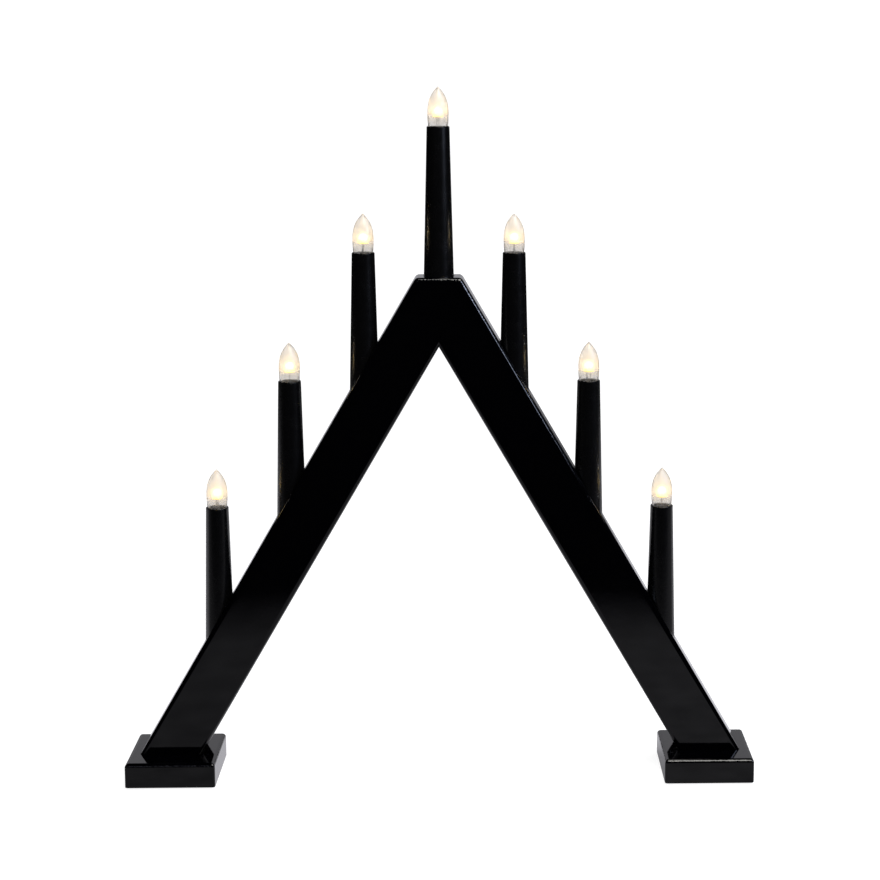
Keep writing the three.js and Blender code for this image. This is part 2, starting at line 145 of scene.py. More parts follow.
class CandleSettings(bpy.types.PropertyGroup):
    """Sizes of the sleeves and lamp holders"""
    mouth: length("Mouth", "Outer diameter of a sleeve at its mouth", 16.4)
    lip: length("Lip", "Wall of the sleeve at its mouth", 0.7)
    wall: length("Wall", "Wall of the sleeve's lower part", 1.5)
    rim: length("Rim", "Rounding of the sleeve's rim", 0.45)
    holder_depth: length("Holder depth", "The lamp holder's shoulder below the mouth", 9)
    holder_length: length("Holder length", "The lamp holder below its shoulder", 17)
    holder_flange: length("Holder flange", "Thickness of the lamp holder's flange", 1.2)
    holder_wall: length("Holder wall", "Wall of the lamp holder", 1.5)
    holder_floor: length("Holder floor", "Floor of the lamp holder", 3.5)
    holder_edge: length("Holder edge", "Rounding of the lamp holder's lower edge", 0.4)
    sides: IntProperty(name="Sides", description="Facets round a sleeve", default=96, min=12)


class BulbSettings(bpy.types.PropertyGroup):
    """Sizes of the screw-in bulbs"""
    thread: length("Thread", "Outer diameter of the screw cap", 9.5)
    thread_pitch: length("Thread pitch", "Rise of the thread in one turn", 25.4 / 14)
    thread_depth: length("Thread depth", "Depth of the rolled thread", 0.42)
    thread_play: length("Thread play", "Play between the cap and its holder", 0.35)
    cap_length: length("Cap length", "Length of the cap's threaded part", 10.5)
    cap_flare: length("Cap flare", "Diameter of the cap's flared rim", 12.2)
    cap_flare_height: length("Cap flare height", "Height of the cap's flared rim", 1.6)
    cap_flare_edge: length("Cap flare edge", "Rounding of the cap's flared rim", 0.35)
    cap_wall: length("Cap wall", "Thickness of the cap's sheet", 0.4)
    cap_floor: length("Cap floor", "Thickness of the cap's floor", 2.3)
    insulator: length("Insulator", "Height of the insulator under the cap", 1.5)
    contact: length("Contact", "Diameter of the solder contact", 4)
    contact_height: length("Contact height", "Height of the solder contact", 2.2)
    contact_round: share("Contact rounding", "Share of the contact's height that rounds off", 0.8)
    seat: length("Envelope seat", "Diameter of the envelope on the cap", 11.4)
    widest: length("Envelope width", "Greatest diameter of the envelope", 15.1)
    widest_rise: length("Widest height", "The greatest diameter's height above the mouth", 9.5)
    tip_rise: length("Tip height", "The tip's height above the mouth", 28)
    tip: length("Tip", "Diameter of the envelope's tip", 1)
    foot_pull: length("Foot pull", "How far inside the widest ring the curve from the seat is drawn", 0.15)
    waist_pull: share("Waist pull", "How far the curve to the tip is drawn straight up, of its rise", 0.44)
    crown_pull: share("Crown pull", "How wide the curve is held below the tip, of the widest ring", 0.74)
    crown_rise: share("Crown rise", "How high the curve is held below the tip, of its rise", 0.72)
    glass: length("Envelope wall", "Wall of the envelope", 0.9)
    rib_depth: length("Rib depth", "Depth of the ribs low on the envelope", 0.12)
    rib_top: length("Rib top", "Where the ribs end, above the mouth", 5)
    rib_fade: length("Rib fade", "Height over which the ribs fade out below their end", 3)
    ribs: IntProperty(name="Ribs", description="Ribs round the foot of the envelope", default=24, min=1)
    led_lead: length("LED lead", "Width of the LED's two square leads", 0.5)
    led_lead_spacing: length("LED lead spacing", "Between the middles of the leads", 2.54)
    led_lead_bow: share("LED lead bow", "How far the leads bow out, of their distance from the axis", 0.1)
    led_foot: length("LED foot", "Height of the foot that holds the leads", 5)
    led_foot_edge: length("LED foot edge", "Rounding of the foot's upper edge", 0.5)
    led_flange: length("LED flange", "Diameter of the LED's flange", 7.4)
    led_flange_height: length("LED flange height", "Thickness of the LED's flange", 1)
    led_flange_rise: length("LED flange rise", "The LED's flange above the mouth", 6.4)
    led_lens: length("LED lens", "Diameter of the LED's lens", 6)
    led_top: length("LED top", "Top of the LED's lens above the mouth", 13.6)


class FinishSettings(bpy.types.PropertyGroup):
    """Colours and gloss of the finishes"""
    lacquer: colour("Lacquer", "Black high-gloss lacquer", "#010102")
    sleeve: colour("Sleeve", "Black satin plastic of the candle sleeves", "#050506")
    holder: colour("Holder", "Black plastic of the lamp holders", "#1a1a1c")
    strip: colour("Strip", "Black plastic of the cover strips", "#101011")
    felt: colour("Felt", "Black felt of the pads", "#1c1c1d")
    rubber: colour("Rubber", "Black rubber of the grommet", "#161616")
    insulation: colour("Insulation", "Black insulation of the leads", "#131313")
    nickel: colour("Nickel", "Nickel plating of the caps", "#cfc8b8")
    solder: colour("Solder", "Solder of the contacts", "#a7a8ab")
    tin: colour("Tin", "Tinned wire of the LEDs' leads", "#8d8e92")
    zinc: colour("Zinc", "Zinc plating of the screws", "#b9bcc2")
    beech: colour("Beech", "Plain beech of the dowels", "#cfae80")
    envelope: colour("Envelope", "Clear plastic of the envelopes", "#f4f3f2")
    # Painted shade: the glass colour turns to this greyer one where one looks along the envelope's wall
    envelope_edge_shade: colour("Envelope edge shade", "The envelopes where one looks along their wall", "#b5afad")
    haze: share("Haze", "Share of the light that the envelopes' plastic scatters", 0.165)
    low_blur: share("Low blur", "Roughness of the envelopes low down", 0.10)
    high_blur: share("High blur", "Roughness of the envelopes beside and above the LED", 0.36)
    resin: colour("Resin", "Resin of the LEDs", "#c9a468")
    glow: colour("Glow", "Colour of the LEDs' light", "#ffd87c")
    glow_strength: share("Glow strength", "Brightness of the LEDs' lenses", 8.5, 100.0)
    lacquer_roughness: share("Lacquer roughness", "Roughness of the lacquer", 0.06)
    sleeve_roughness: share("Sleeve roughness", "Roughness of the sleeves", 0.25)


class StudioSettings(bpy.types.PropertyGroup):
    """Camera, room and floor"""
    focal_length: length("Focal length", "Of the camera's lens", 77.740)
    sensor: length("Sensor", "Width of the camera's sensor", 36)
    camera_x: length("Camera X", "The camera's place to the right", 26.98)
    camera_y: length("Camera Y", "The camera's place to the back", -1355.1)
    camera_z: length("Camera Z", "The camera's height", 528.17)
    camera_pitch: angle("Camera pitch", "How far the camera looks down", 8.253)
    camera_turn: angle("Camera turn", "How far the camera is turned to the left", -1.483)
    camera_roll: angle("Camera roll", "How far the camera is rolled", 0.0625)
    axis_column: pixels("Axis column", "Picture column of the lens's axis, from the left", 525.3)
    axis_row: pixels("Axis row", "Picture row of the lens's axis, from the top", 330)
    room_level: share("Room level", "The world's level for matt surfaces", 0.5)
    room_gloss: share("Room gloss", "How bright the dark room shows in gloss", 0.003)
    front_gloss: share("Front gloss", "How bright the sweep's front part shows in gloss", 0.27)
    near_gloss: share("Near gloss", "How bright the sweep just behind the stand shows in gloss", 0.85)
    back_gloss: share("Back gloss", "How bright the sweep's upright back shows in gloss", 0.52)
    sweep_tone: colour("Sweep tone", "Slight lavender tone of the sweep in gloss", "#f9f8ff")
    sweep_grey: colour("Sweep grey", "The sweep as matt surfaces see it", "#a8a8a8")
    sweep_lift: share("Sweep lift", "The sweep's own white for the camera", 0.86)
    sweep_front: length("Sweep front", "How far the sweep reaches in front of the stand", 505)
    sweep_back: length("Sweep back", "Where the sweep stands upright, behind the stand", 2000)
    sweep_bend: length("Sweep bend", "Radius of the sweep's bend", 700)
    sweep_top: length("Sweep top", "Height of the sweep's upper edge", 1100)
    sweep_width: length("Sweep width", "Width of the sweep", 2600)


GROUPS = {
    "stand": StandSettings, "candle": CandleSettings, "bulb": BulbSettings,
    "finish": FinishSettings, "studio": StudioSettings,
}


# Surfaces

def skin(rows, ring=False):
    """Quads over a grid of rows by columns, whose columns close round. With `ring` the rows close too, and
    otherwise each end closes on the middle of its row. Points that coincide are merged, a quad that loses a
    corner becomes a triangle, and the faces are turned outwards by the sign of the enclosed volume."""
    if not ring:
        rows = np.concatenate([rows[:1].mean(1, keepdims=True).repeat(rows.shape[1], 1), rows,
                               rows[-1:].mean(1, keepdims=True).repeat(rows.shape[1], 1)])
    count, around = rows.shape[:2]
    index = np.arange(count * around).reshape(count, around)
    above = np.roll(index, -1, 0) if ring else index[1:]
    below = index if ring else index[:-1]
    quads = np.stack([below, np.roll(below, -1, 1), np.roll(above, -1, 1), above], -1).reshape(-1, 4)
    points, found = np.unique(np.round(rows.reshape(-1, 3), 8), axis=0, return_inverse=True)
    quads = found.reshape(-1)[quads]
    a, b, c, d = (points[quads[:, i]] for i in range(4))
    volume = np.einsum("ij,ij->i", a, np.cross(b, c)).sum() + np.einsum("ij,ij->i", a, np.cross(c, d)).sum()
    if volume < 0:
        quads = quads[:, ::-1]
    kept = quads != np.roll(quads, 1, axis=1)
    whole = kept.sum(1) > 2
    return points, quads[whole][kept[whole]], kept[whole].sum(1)


def add_mesh(name, surface):
    """A new object at the origin with the surface's points and faces in its mesh."""
    points, corners, sizes = surface
    mesh = bpy.data.meshes.new(name)
    mesh.vertices.add(len(points))
    mesh.vertices.foreach_set("co", points.ravel())
    mesh.loops.add(len(corners))
    mesh.loops.foreach_set("vertex_index", corners)
    mesh.polygons.add(len(sizes))
    mesh.polygons.foreach_set("loop_start", np.concatenate([[0], np.cumsum(sizes)[:-1]]))
    mesh.update(calc_edges=True)
    if mesh.validate():
        raise RuntimeError(f"{name} has faces that aren't valid")
    piece = bpy.data.objects.new(name, mesh)
    bpy.context.scene.collection.objects.link(piece)
    return piece


def mark(piece, name, values):
    """Gives each point of the piece a value that its material reads."""
    piece.data.attributes.new(name, "FLOAT", "POINT").data.foreach_set("value", values)


def arris(piece, axis, face, edge, start):
    """Marks the rounded edges below a face: 4 * t * (1 - t), for t from 0 at the face to 1 where the rounding
    ends. The face is the top with `axis` 2, and front and back with 1. The mark sets in above the height
    `start`."""
    points = np.empty(3 * len(piece.data.vertices), np.float32)
    piece.data.vertices.foreach_get("co", points)
    points = points.reshape(-1, 3)
    t = np.clip((face - np.abs(points[:, axis])) / edge, 0, 1)
    mark(piece, "arris", 4 * t * (1 - t) * np.clip((points[:, 2] - start) / edge, 0, 1))


def cut(piece, tools):
    """Cuts the tools' solids out of the piece, and removes them."""
    for tool in tools:
        modifier = piece.modifiers.new("Cut", "BOOLEAN")
        modifier.operation = "DIFFERENCE"
        modifier.solver = "EXACT"
        modifier.object = tool
    graph = bpy.context.evaluated_depsgraph_get()
    made = bpy.data.meshes.new_from_object(piece.evaluated_get(graph))
    piece.modifiers.clear()
    piece.data = made
    for tool in tools:
        bpy.data.objects.remove(tool)


def dress(piece, material, body, slot, *nodes):
    """Shades the piece smooth up to its creases, with flat faces kept flat, gives it its material, lets it
    ride on its body and stand for its nodes."""
    mesh = piece.data
    mesh.polygons.foreach_set("use_smooth", np.ones(len(mesh.polygons), bool))
    mesh.set_sharp_from_angle(angle=CREASE)
    weighted = piece.modifiers.new("Weighted normals", "WEIGHTED_NORMAL")
    weighted.keep_sharp = True
    mesh.materials.clear()
    mesh.materials.append(material)
    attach(piece, body)
    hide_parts(*nodes)


def filleted(corners, steps=5):
    """A profile of radius and height whose corners give way to arcs tangent to both sides. A corner is
    (radius, height, rounding), and the first and last corners are neighbours. Seen from its centre, an arc is
    start * sin((1 - t) * turn) plus end * sin(t * turn), both over sin(turn), for t from 0 to 1."""
    points = np.array([corner[:2] for corner in corners], float)
    made = []
    for i, (here, rounding) in enumerate(zip(points, (corner[2] for corner in corners))):
        if rounding == 0:
            made.append(here[None])
            continue
        before, after = points[i - 1] - here, points[(i + 1) % len(points)] - here
        before, after = before / np.linalg.norm(before), after / np.linalg.norm(after)
        half = math.acos(float(before @ after)) / 2
        middle = here + (before + after) / np.linalg.norm(before + after) * rounding / math.sin(half)
        start = here + before * rounding / math.tan(half) - middle
        end = here + after * rounding / math.tan(half) - middle
        turn = math.pi - 2 * half
        t = np.linspace(0, 1, steps + 1)[:, None]
        made.append(middle + (np.sin((1 - t) * turn) * start + np.sin(t * turn) * end) / math.sin(turn))
    return np.concatenate(made)


def lathe(profile, sides, x=0.0, base=0.0):
    """Rows of a turned surface: each profile point of radius and height goes round an upright axis at x, by
    radius * cos(turn) across and radius * sin(turn) back."""
    around = np.linspace(0, 2 * math.pi, sides, endpoint=False)
    radius, height = np.asarray(profile, float).T
    return np.stack(np.broadcast_arrays(
        x + radius[:, None] * np.cos(around), radius[:, None] * np.sin(around), base + height[:, None],
    ), -1)


def prism(corners, front, back):
    """Rows of a flat-sided block: an outline of (x, z) corners at its front and at its back."""
    outline = np.array([[x, 0.0, z] for x, z in corners])
    return np.stack([outline + [0, front, 0], outline + [0, back, 0]])


# The stand's lines, as the frame has them

class Lines:
    """Where the beams run: heights and reaches of lines that lie at a depth inside a beam's inner face."""

    def __init__(self, stand):
        foot_low, foot_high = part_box("right_foot")
        beam_low, beam_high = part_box("right_beam")
        self.width = stand.beam_width
        self.apex = stand.axis_apex
        self.foot_top = foot_high.z
        self.crest = beam_high.z
        self.half_depth = (beam_high.y - beam_low.y) / 2
        self.slope = ((foot_low.x + foot_high.x) / 2 + stand.beam_outset) / (stand.axis_apex - foot_high.z)
        self.lean = math.atan(self.slope)

    def height(self, depth, reach):
        """Height of the line at a distance `reach` from the stand's middle."""
        return self.apex + (depth - self.width / 2) / math.sin(self.lean) - reach / self.slope

    def reach(self, depth, height):
        """Distance from the middle at which the line has that height."""
        return (self.height(depth, 0) - height) * self.slope

    def along(self, start, end, depths):
        """Corners of a stretch along the beam between two depths, with upright ends."""
        return [(x, self.height(depth, x)) for x, depth in
                ((start, depths[0]), (end, depths[0]), (end, depths[1]), (start, depths[1]))]


def mirrored(surface, side):
    """The surface for that side: its points with X turned round on the left, and its faces with them."""
    points, corners, sizes = surface
    if side > 0:
        return surface
    ends = np.cumsum(sizes)
    owner = np.repeat(np.arange(len(sizes)), sizes)
    place = np.arange(len(corners)) - (ends - sizes)[owner]
    return points * [-1, 1, 1], corners[ends[owner] - 1 - place], sizes


def candle_place(number):
    """The candle's X, the height of its foot and the height of its mouth."""
    low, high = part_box(f"candle_{number}_sleeve")
    return (low.x + high.x) / 2, low.z, high.z


def sleeve_base():
    """Radius of a sleeve at its foot."""
    low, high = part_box("candle_1_sleeve")
    return (high.y - low.y) / 2


def beam_surface(lines, stand):
    """The right half of the A. The outline is a straight run down the inner face, one up the outer face, an
    arc to the crest and the crest's flat. It moves inwards by edge * (1 - sin t) while it moves back by
    edge * (1 - cos t), for t from 0 to a quarter turn, which rounds the front edges. The back is its mirror
    image."""
    edge = stand.beam_edge
    turn = np.linspace(0, math.pi / 2, stand.edge_steps + 1)
    inset = edge * (1 - np.sin(turn))
    onward = edge * (1 - np.cos(turn))
    inset = np.concatenate([inset, inset[::-1]])[:, None]
    y = np.concatenate([-lines.half_depth + onward, (lines.half_depth - onward)[::-1]])[:, None]
    radius = edge + stand.crest_rounding
    corner_x = lines.reach(lines.width, lines.crest) - radius * math.tan((math.pi / 2 - lines.lean) / 2)
    run = np.linspace(0, 1, 3)
    inner_x = run * lines.reach(inset, lines.foot_top)
    arc = np.linspace(lines.lean, math.pi / 2, stand.edge_steps + 1)
    arc_x = corner_x + (radius - inset) * np.cos(arc)
    arc_z = lines.crest - radius + (radius - inset) * np.sin(arc)
    outer_x = lines.reach(lines.width - inset, lines.foot_top) * (1 - run[:-1]) + arc_x[:, :1] * run[:-1]
    x = np.hstack([inner_x, outer_x, arc_x, 0 * inset])
    z = np.hstack([lines.height(inset, inner_x), lines.height(lines.width - inset, outer_x), arc_z,
                   lines.crest - inset])
    return skin(np.stack([x, np.broadcast_to(y, x.shape), z], -1))


def beam_tools(lines, stand, side):
    """What is cut out of one beam: stepped bores for the candles, the wiring groove with its ledge, the
    cord's way out, and the holes for dowels and screws."""
    tools = []
    past, short = lines.half_depth + stand.beam_edge, lines.half_depth - stand.beam_edge
    middle = stand.groove_depth + stand.groove_width / 2
    groove = (stand.groove_depth, stand.groove_depth + stand.groove_width)
    ledge = (groove[0] - stand.strip_lap, groove[1] + stand.strip_lap)
    for number in CANDLES:
        x, foot, mouth = candle_place(number)
        if x * side < -stand.play:
            continue
        bore = [(0, lines.height(middle, abs(x))), (stand.wire_hole / 2, lines.height(middle, abs(x))),
                (stand.wire_hole / 2, foot), (sleeve_base() + stand.play, foot),
                (sleeve_base() + stand.play, mouth), (0, mouth)]
        tools.append(skin(lathe(bore, FACETS["candle_bore"], x)))
    strip_low, strip_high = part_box("right_cover_strip")
    end = strip_high.x + stand.play
    for depths, front in ((groove, stand.groove_floor), (ledge, strip_low.y - stand.play)):
        rows = prism(lines.along(-stand.beam_edge, end, depths), front, past)
        tools.append(mirrored(skin(rows), side))
    if side > 0:
        low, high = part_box("cord_grommet")
        x, z = (low.x + high.x) / 2, (low.z + high.z) / 2
        neck, floor = stand.grommet_neck / 2 + stand.play, stand.groove_floor
        tools.append(skin(prism(lines.along(strip_high.x, x, groove), floor, short)))
        rows = lathe([(0, floor), (neck, floor), (neck, past), (0, past)], FACETS["grommet_hole"])
        tools.append(skin(rows[..., [0, 2, 1]] * [1, 1, -1] + [x, 0, z]))
    for number in (1, 2):
        low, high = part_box(f"mitre_dowel_{number}")
        radius, end = (high.y - low.y) / 2 + stand.play, high.x + stand.play
        y, z = (low.y + high.y) / 2, (low.z + high.z) / 2
        rows = lathe([(0, -end), (radius, -end), (radius, end), (0, end)], FACETS["dowel_hole"])
        tools.append(skin(rows[..., [2, 1, 0]] * [1, 1, -1] + [0, y, z]))
    return [add_mesh(f"tool_{i}", tool) for i, tool in enumerate(tools)] + screw_tools(stand, side)


def screw_tools(stand, side):
    """Holes for one foot's two screws: a bore for the countersunk head, and a cone down to half its width."""
    name = "left" if side < 0 else "right"
    tools = []
    for number in (1, 2):
        low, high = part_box(f"{name}_foot_screw_{number}")
        head = (high.y - low.y) / 2 + stand.play
        shank = head / 2
        profile = [
            (0, 0), (head, 0), (head, low.z + stand.play), (shank, low.z + head), (shank, high.z),
            (0, high.z),
        ]
        rows = lathe(profile, FACETS["screw_hole"], (low.x + high.x) / 2)
        tools.append(add_mesh(f"screw_tool_{number}", skin(rows)))
    return tools


def foot_surface(side, stand):
    """A square block. A loop of four corner arcs moves inwards by edge * (1 - sin t) while it goes down or up
    by edge * (1 - cos t), which rounds the lower and the upper edges. On the way in over the upper edge the
    arcs tighten evenly from the upright corners' rounding to that of the mitres."""
    low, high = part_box("left_foot" if side < 0 else "right_foot")
    turn = np.linspace(0, math.pi / 2, stand.edge_steps + 1)
    inward, onward = 1 - np.sin(turn), 1 - np.cos(turn)
    under, over = stand.foot_low_edge, stand.foot_top_edge
    inset = np.concatenate([under * inward, over * inward[::-1]])[:, None]
    z = np.concatenate([low.z + under * onward, high.z - over * onward[::-1]])[:, None]
    tight = np.concatenate([0 * inward, inward[::-1]])[:, None]
    radius = stand.foot_corner * (1 - tight) + stand.foot_mitre * tight
    around = np.concatenate([quarter * math.pi / 2 + turn for quarter in range(4)])
    square = np.repeat([[1, 1], [-1, 1], [-1, -1], [1, -1]], len(turn), axis=0)
    x, y = ((low[i] + high[i]) / 2 + square[:, i] * ((high[i] - low[i]) / 2 - inset - radius) for i in (0, 1))
    x, y = x + radius * np.cos(around), y + radius * np.sin(around)
    return skin(np.stack([x, y, np.broadcast_to(z, x.shape)], -1))


# Heights in a candle, from its mouth

class Levels:
    """Heights of the holder's and bulb's pieces, from the sleeve's mouth."""

    def __init__(self, candle, bulb, play):
        self.shoulder = -candle.holder_depth
        self.holder_top = self.shoulder + candle.holder_flange
        self.holder_bottom = self.shoulder - candle.holder_length
        self.socket_floor = self.holder_bottom + candle.holder_floor
        self.flare_low = self.holder_top + play
        self.cap_top = self.flare_low + bulb.cap_flare_height
        self.cap_bottom = self.flare_low - bulb.cap_length
        self.insulator_bottom = self.cap_bottom - bulb.insulator
        self.contact_bottom = self.insulator_bottom - bulb.contact_height
        self.cap_inside = self.cap_bottom + bulb.cap_floor
        self.led_foot_top = self.cap_inside + bulb.led_foot
        self.socket = bulb.thread / 2 + bulb.thread_play
        self.holder = self.socket + candle.holder_wall
        self.bore = candle.mouth / 2 - candle.lip


def sleeve_profile(levels, candle, play):
    """A tube whose outside narrows evenly from foot to mouth, with a shoulder inside for the lamp holder."""
    base = sleeve_base()
    _, foot, mouth = candle_place(1)
    tall = mouth - foot
    socket = levels.holder + play
    below = candle.mouth / 2 + (base - candle.mouth / 2) * -levels.holder_bottom / tall - candle.wall
    return filleted([
        (base - candle.wall, -tall, FINE_EDGE), (base, -tall, EASED_EDGE),
        (candle.mouth / 2, 0, candle.rim), (levels.bore, 0, EASED_EDGE),
        (levels.bore, levels.shoulder, FINE_EDGE), (socket, levels.shoulder, FINE_EDGE),
        (socket, levels.holder_bottom, FINE_EDGE), (below, levels.holder_bottom, FINE_EDGE),
    ])


def holder_profile(levels, candle, bulb, play):
    """A cup with a flange: outer wall, flange, bore for the cap and a pit for the contact."""
    pit = levels.contact_bottom - play
    return filleted([
        (0, levels.holder_bottom, 0), (levels.holder, levels.holder_bottom, candle.holder_edge),
        (levels.holder, levels.shoulder, 0), (levels.bore - play, levels.shoulder, FINE_EDGE),
        (levels.bore - play, levels.holder_top, SOFT_EDGE), (levels.socket, levels.holder_top, SOFT_EDGE),
        (levels.socket, levels.socket_floor, FINE_EDGE), (bulb.contact / 2, levels.socket_floor, FINE_EDGE),
        (bulb.contact / 2, pit, FINE_EDGE), (0, pit, 0),
    ], 4)


def cap_rows(levels, bulb, x, base):
    """A screw cap: insulator, threaded shell, flared rim and the hollow for the LED's foot. The thread is a
    ridge that follows a helix: the radius falls by depth * (1 - cos(height / pitch - turn)) / 2, and the
    thread fades out over half a pitch at both ends."""
    radius, wall, flare = bulb.thread / 2, bulb.cap_wall, bulb.cap_flare / 2
    low, high = levels.cap_bottom + wall, levels.flare_low - wall
    start = filleted([
        (0, levels.insulator_bottom, 0), (bulb.contact / 2 + wall, levels.insulator_bottom, SOFT_EDGE),
        (radius - 2 * wall, levels.cap_bottom, EASED_EDGE), (radius - wall / 2, low, 0),
    ], 4)[:-1]
    height = np.linspace(low, high, STEPS["thread"])[:, None]
    shell = np.hstack([np.full_like(height, radius), height])
    rim = filleted([
        (radius, high, 0), (radius, levels.flare_low, EASED_EDGE),
        (flare, levels.flare_low, bulb.cap_flare_edge), (flare, levels.cap_top, bulb.cap_flare_edge),
        (radius - wall, levels.cap_top, EASED_EDGE), (radius - wall, levels.cap_inside, EASED_EDGE),
        (0, levels.cap_inside, 0),
    ], 4)[1:]
    rows = lathe(np.concatenate([start, shell, rim]), FACETS["cap"])
    ends = np.minimum(height - low, high - height) / (bulb.thread_pitch / 2)
    around = np.linspace(0, 2 * math.pi, FACETS["cap"], endpoint=False)
    wave = (1 - np.cos(2 * math.pi * height / bulb.thread_pitch - around)) / 2
    fall = bulb.thread_depth * wave * np.clip(ends, 0, 1)
    threaded = slice(len(start), len(start) + len(shell))
    rows[threaded, :, :2] *= (1 - fall / radius)[..., None]
    return rows + [x, 0, base]


def contact_profile(levels, bulb):
    """A drop of solder. From its lowest point it goes out by radius * sin(turn) while it goes up by
    tall * (1 - cos(turn)), for a quarter turn, and then straight up to the insulator."""
    radius, tall = bulb.contact / 2, bulb.contact_height * bulb.contact_round
    turn = np.linspace(0, math.pi / 2, STEPS["drop"])
    drop = np.stack([radius * np.sin(turn), levels.contact_bottom + tall * (1 - np.cos(turn))], -1)
    return np.concatenate([drop, [[radius, levels.insulator_bottom], [0, levels.insulator_bottom]]])


def bezier(points, steps):
    """Points of a cubic curve: its four control points weighted by (1 - t)^3, 3 * (1 - t)^2 * t,
    3 * (1 - t) * t^2 and t^3, for t from 0 to 1."""
    t = np.linspace(0, 1, steps)[:, None]
    a, b, c, d = np.array(points, float)
    return (1 - t) ** 3 * a + 3 * (1 - t) ** 2 * t * b + 3 * (1 - t) * t ** 2 * c + t ** 3 * d


def envelope_outline(levels, bulb, inset, steps):
    """The flame shape from its seat to its tip, moved inwards by `inset`: one cubic curve swells to the
    widest ring, one draws in towards the tip, and a quarter circle rounds it off."""
    seat, widest, tip = bulb.seat / 2 - inset, bulb.widest / 2 - inset, bulb.tip / 2
    waist, top = bulb.widest_rise, bulb.tip_rise - 2 * inset
    rise = top - tip - waist
    lower = bezier([
        (seat, levels.cap_top), (widest - bulb.foot_pull, levels.cap_top / 2), (widest, waist / 2),
        (widest, waist),
    ], steps)
    upper = bezier([
        (widest, waist), (widest, waist + bulb.waist_pull * rise),
        (bulb.crown_pull * widest, waist + bulb.crown_rise * rise), (tip, top - tip),
    ], steps)
    nub = np.linspace(0, math.pi / 2, STEPS["tip"])[1:]
    dome = np.stack([tip * np.cos(nub), top - tip + tip * np.sin(nub)], -1)
    return np.concatenate([lower, upper[1:], dome])


def envelope_rows(levels, bulb, x, base):
    """A thin shell: up the outside and down the inside. Low on the outside, ribs take
    depth * (1 - cos(ribs * turn)) / 2 off the radius and fade out above the mouth."""
    outside = envelope_outline(levels, bulb, 0, STEPS["outside"])
    inside = envelope_outline(levels, bulb, bulb.glass, STEPS["inside"])[::-1]
    sides = FACETS["rib"] * bulb.ribs
    rows = lathe(np.concatenate([outside, inside]), sides)
    around = np.linspace(0, 2 * math.pi, sides, endpoint=False)
    height = outside[:, 1:]
    fade = np.clip((bulb.rib_top - height) / bulb.rib_fade, 0, 1)
    fall = bulb.rib_depth * (1 - np.cos(bulb.ribs * around)) / 2 * fade ** 2 * (3 - 2 * fade)
    rows[:len(outside), :, :2] *= (1 - fall / outside[:, :1])[..., None]
    return rows + [x, 0, base]


def led_profile(bulb):
    """A flange and a lens with a domed top, which is a quarter circle of the lens's radius."""
    lens, flange = bulb.led_lens / 2, bulb.led_flange / 2
    low, high = bulb.led_flange_rise, bulb.led_flange_rise + bulb.led_flange_height
    turn = np.linspace(math.pi / 2, 0, STEPS["lens"])
    dome = np.stack([lens * np.sin(turn), bulb.led_top - lens + lens * np.cos(turn)], -1)
    body = filleted([
        (0, low, 0), (flange, low, EASED_EDGE), (flange, high, SOFT_EDGE), (lens, high, FINE_EDGE),
        (lens, high + bulb.led_flange_height, 0),
    ], 4)
    return np.concatenate([body, dome])


def led_foot_profile(levels, bulb, play):
    """The disc in the cap that holds the leads."""
    radius, low, high = bulb.thread / 2 - bulb.cap_wall - play, levels.cap_inside, levels.led_foot_top
    edge = bulb.led_foot_edge
    return filleted([(0, low, 0), (radius, low, EASED_EDGE), (radius, high, edge), (0, high, 0)], 4)


def lead_rows(levels, bulb, side, turn, x, base):
    """One square lead: a square section goes up from the foot to the flange. It stands half the spacing off
    the axis, bows out by a share of that with the sine of its way up, and is turned about the bulb's axis."""
    up = np.linspace(0, 1, STEPS["lead"])[:, None]
    z = base + levels.led_foot_top + up * (bulb.led_flange_rise - levels.led_foot_top)
    off = side * bulb.led_lead_spacing / 2 * (1 + bulb.led_lead_bow * np.sin(math.pi * up))
    square = bulb.led_lead / 2 * np.array([[1, 1], [-1, 1], [-1, -1], [1, -1]])
    along, across = off + square[:, 0], 0 * up + square[:, 1]
    return np.stack(np.broadcast_arrays(
        x + along * math.cos(turn) - across * math.sin(turn),
        along * math.sin(turn) + across * math.cos(turn), z,
    ), -1)


# Materials

NOISE = (0.3, 0.7)      # most of a noise texture's values lie between these


def add_node(tree, kind, inputs=(), **settings):
    """Adds one node. Settings go on the node, and inputs on its sockets, by name or in the sockets' order. An
    output given as an input is linked, and so is the first output of a node."""
    made = tree.nodes.new(kind)
    for name, value in settings.items():
        setattr(made, name, value)
    for name, value in inputs.items() if isinstance(inputs, dict) else enumerate(inputs):
        if isinstance(value, bpy.types.Node):
            value = value.outputs[0]
        if isinstance(value, bpy.types.NodeSocket):
            tree.links.new(value, made.inputs[name])
        else:
            made.inputs[name].default_value = value
    return made


def new_material(name):
    """An empty node material and its tree."""
    material = bpy.data.materials.new(name)
    material.use_nodes = True
    material.node_tree.nodes.clear()
    return material, material.node_tree


def grain(tree, size_mm, detail=2.0, roughness=0.5, stretch=(1, 1, 1)):
    """Blotches that measure about that many millimetres on the piece. A stretch below 1 makes them longer
    along its axis, and one above 1 shorter."""
    where = add_node(tree, "ShaderNodeTexCoord").outputs["Object"]
    stretched = add_node(tree, "ShaderNodeMapping", {"Vector": where, "Scale": stretch})
    return add_node(tree, "ShaderNodeTexNoise", {
        "Vector": stretched, "Scale": 1 / (size_mm * MM), "Detail": detail, "Roughness": roughness,
    })


def shaded(tone, level):
    """The colour with its red, green and blue multiplied by that level."""
    return [channel * level for channel in tone[:3]] + [1.0]


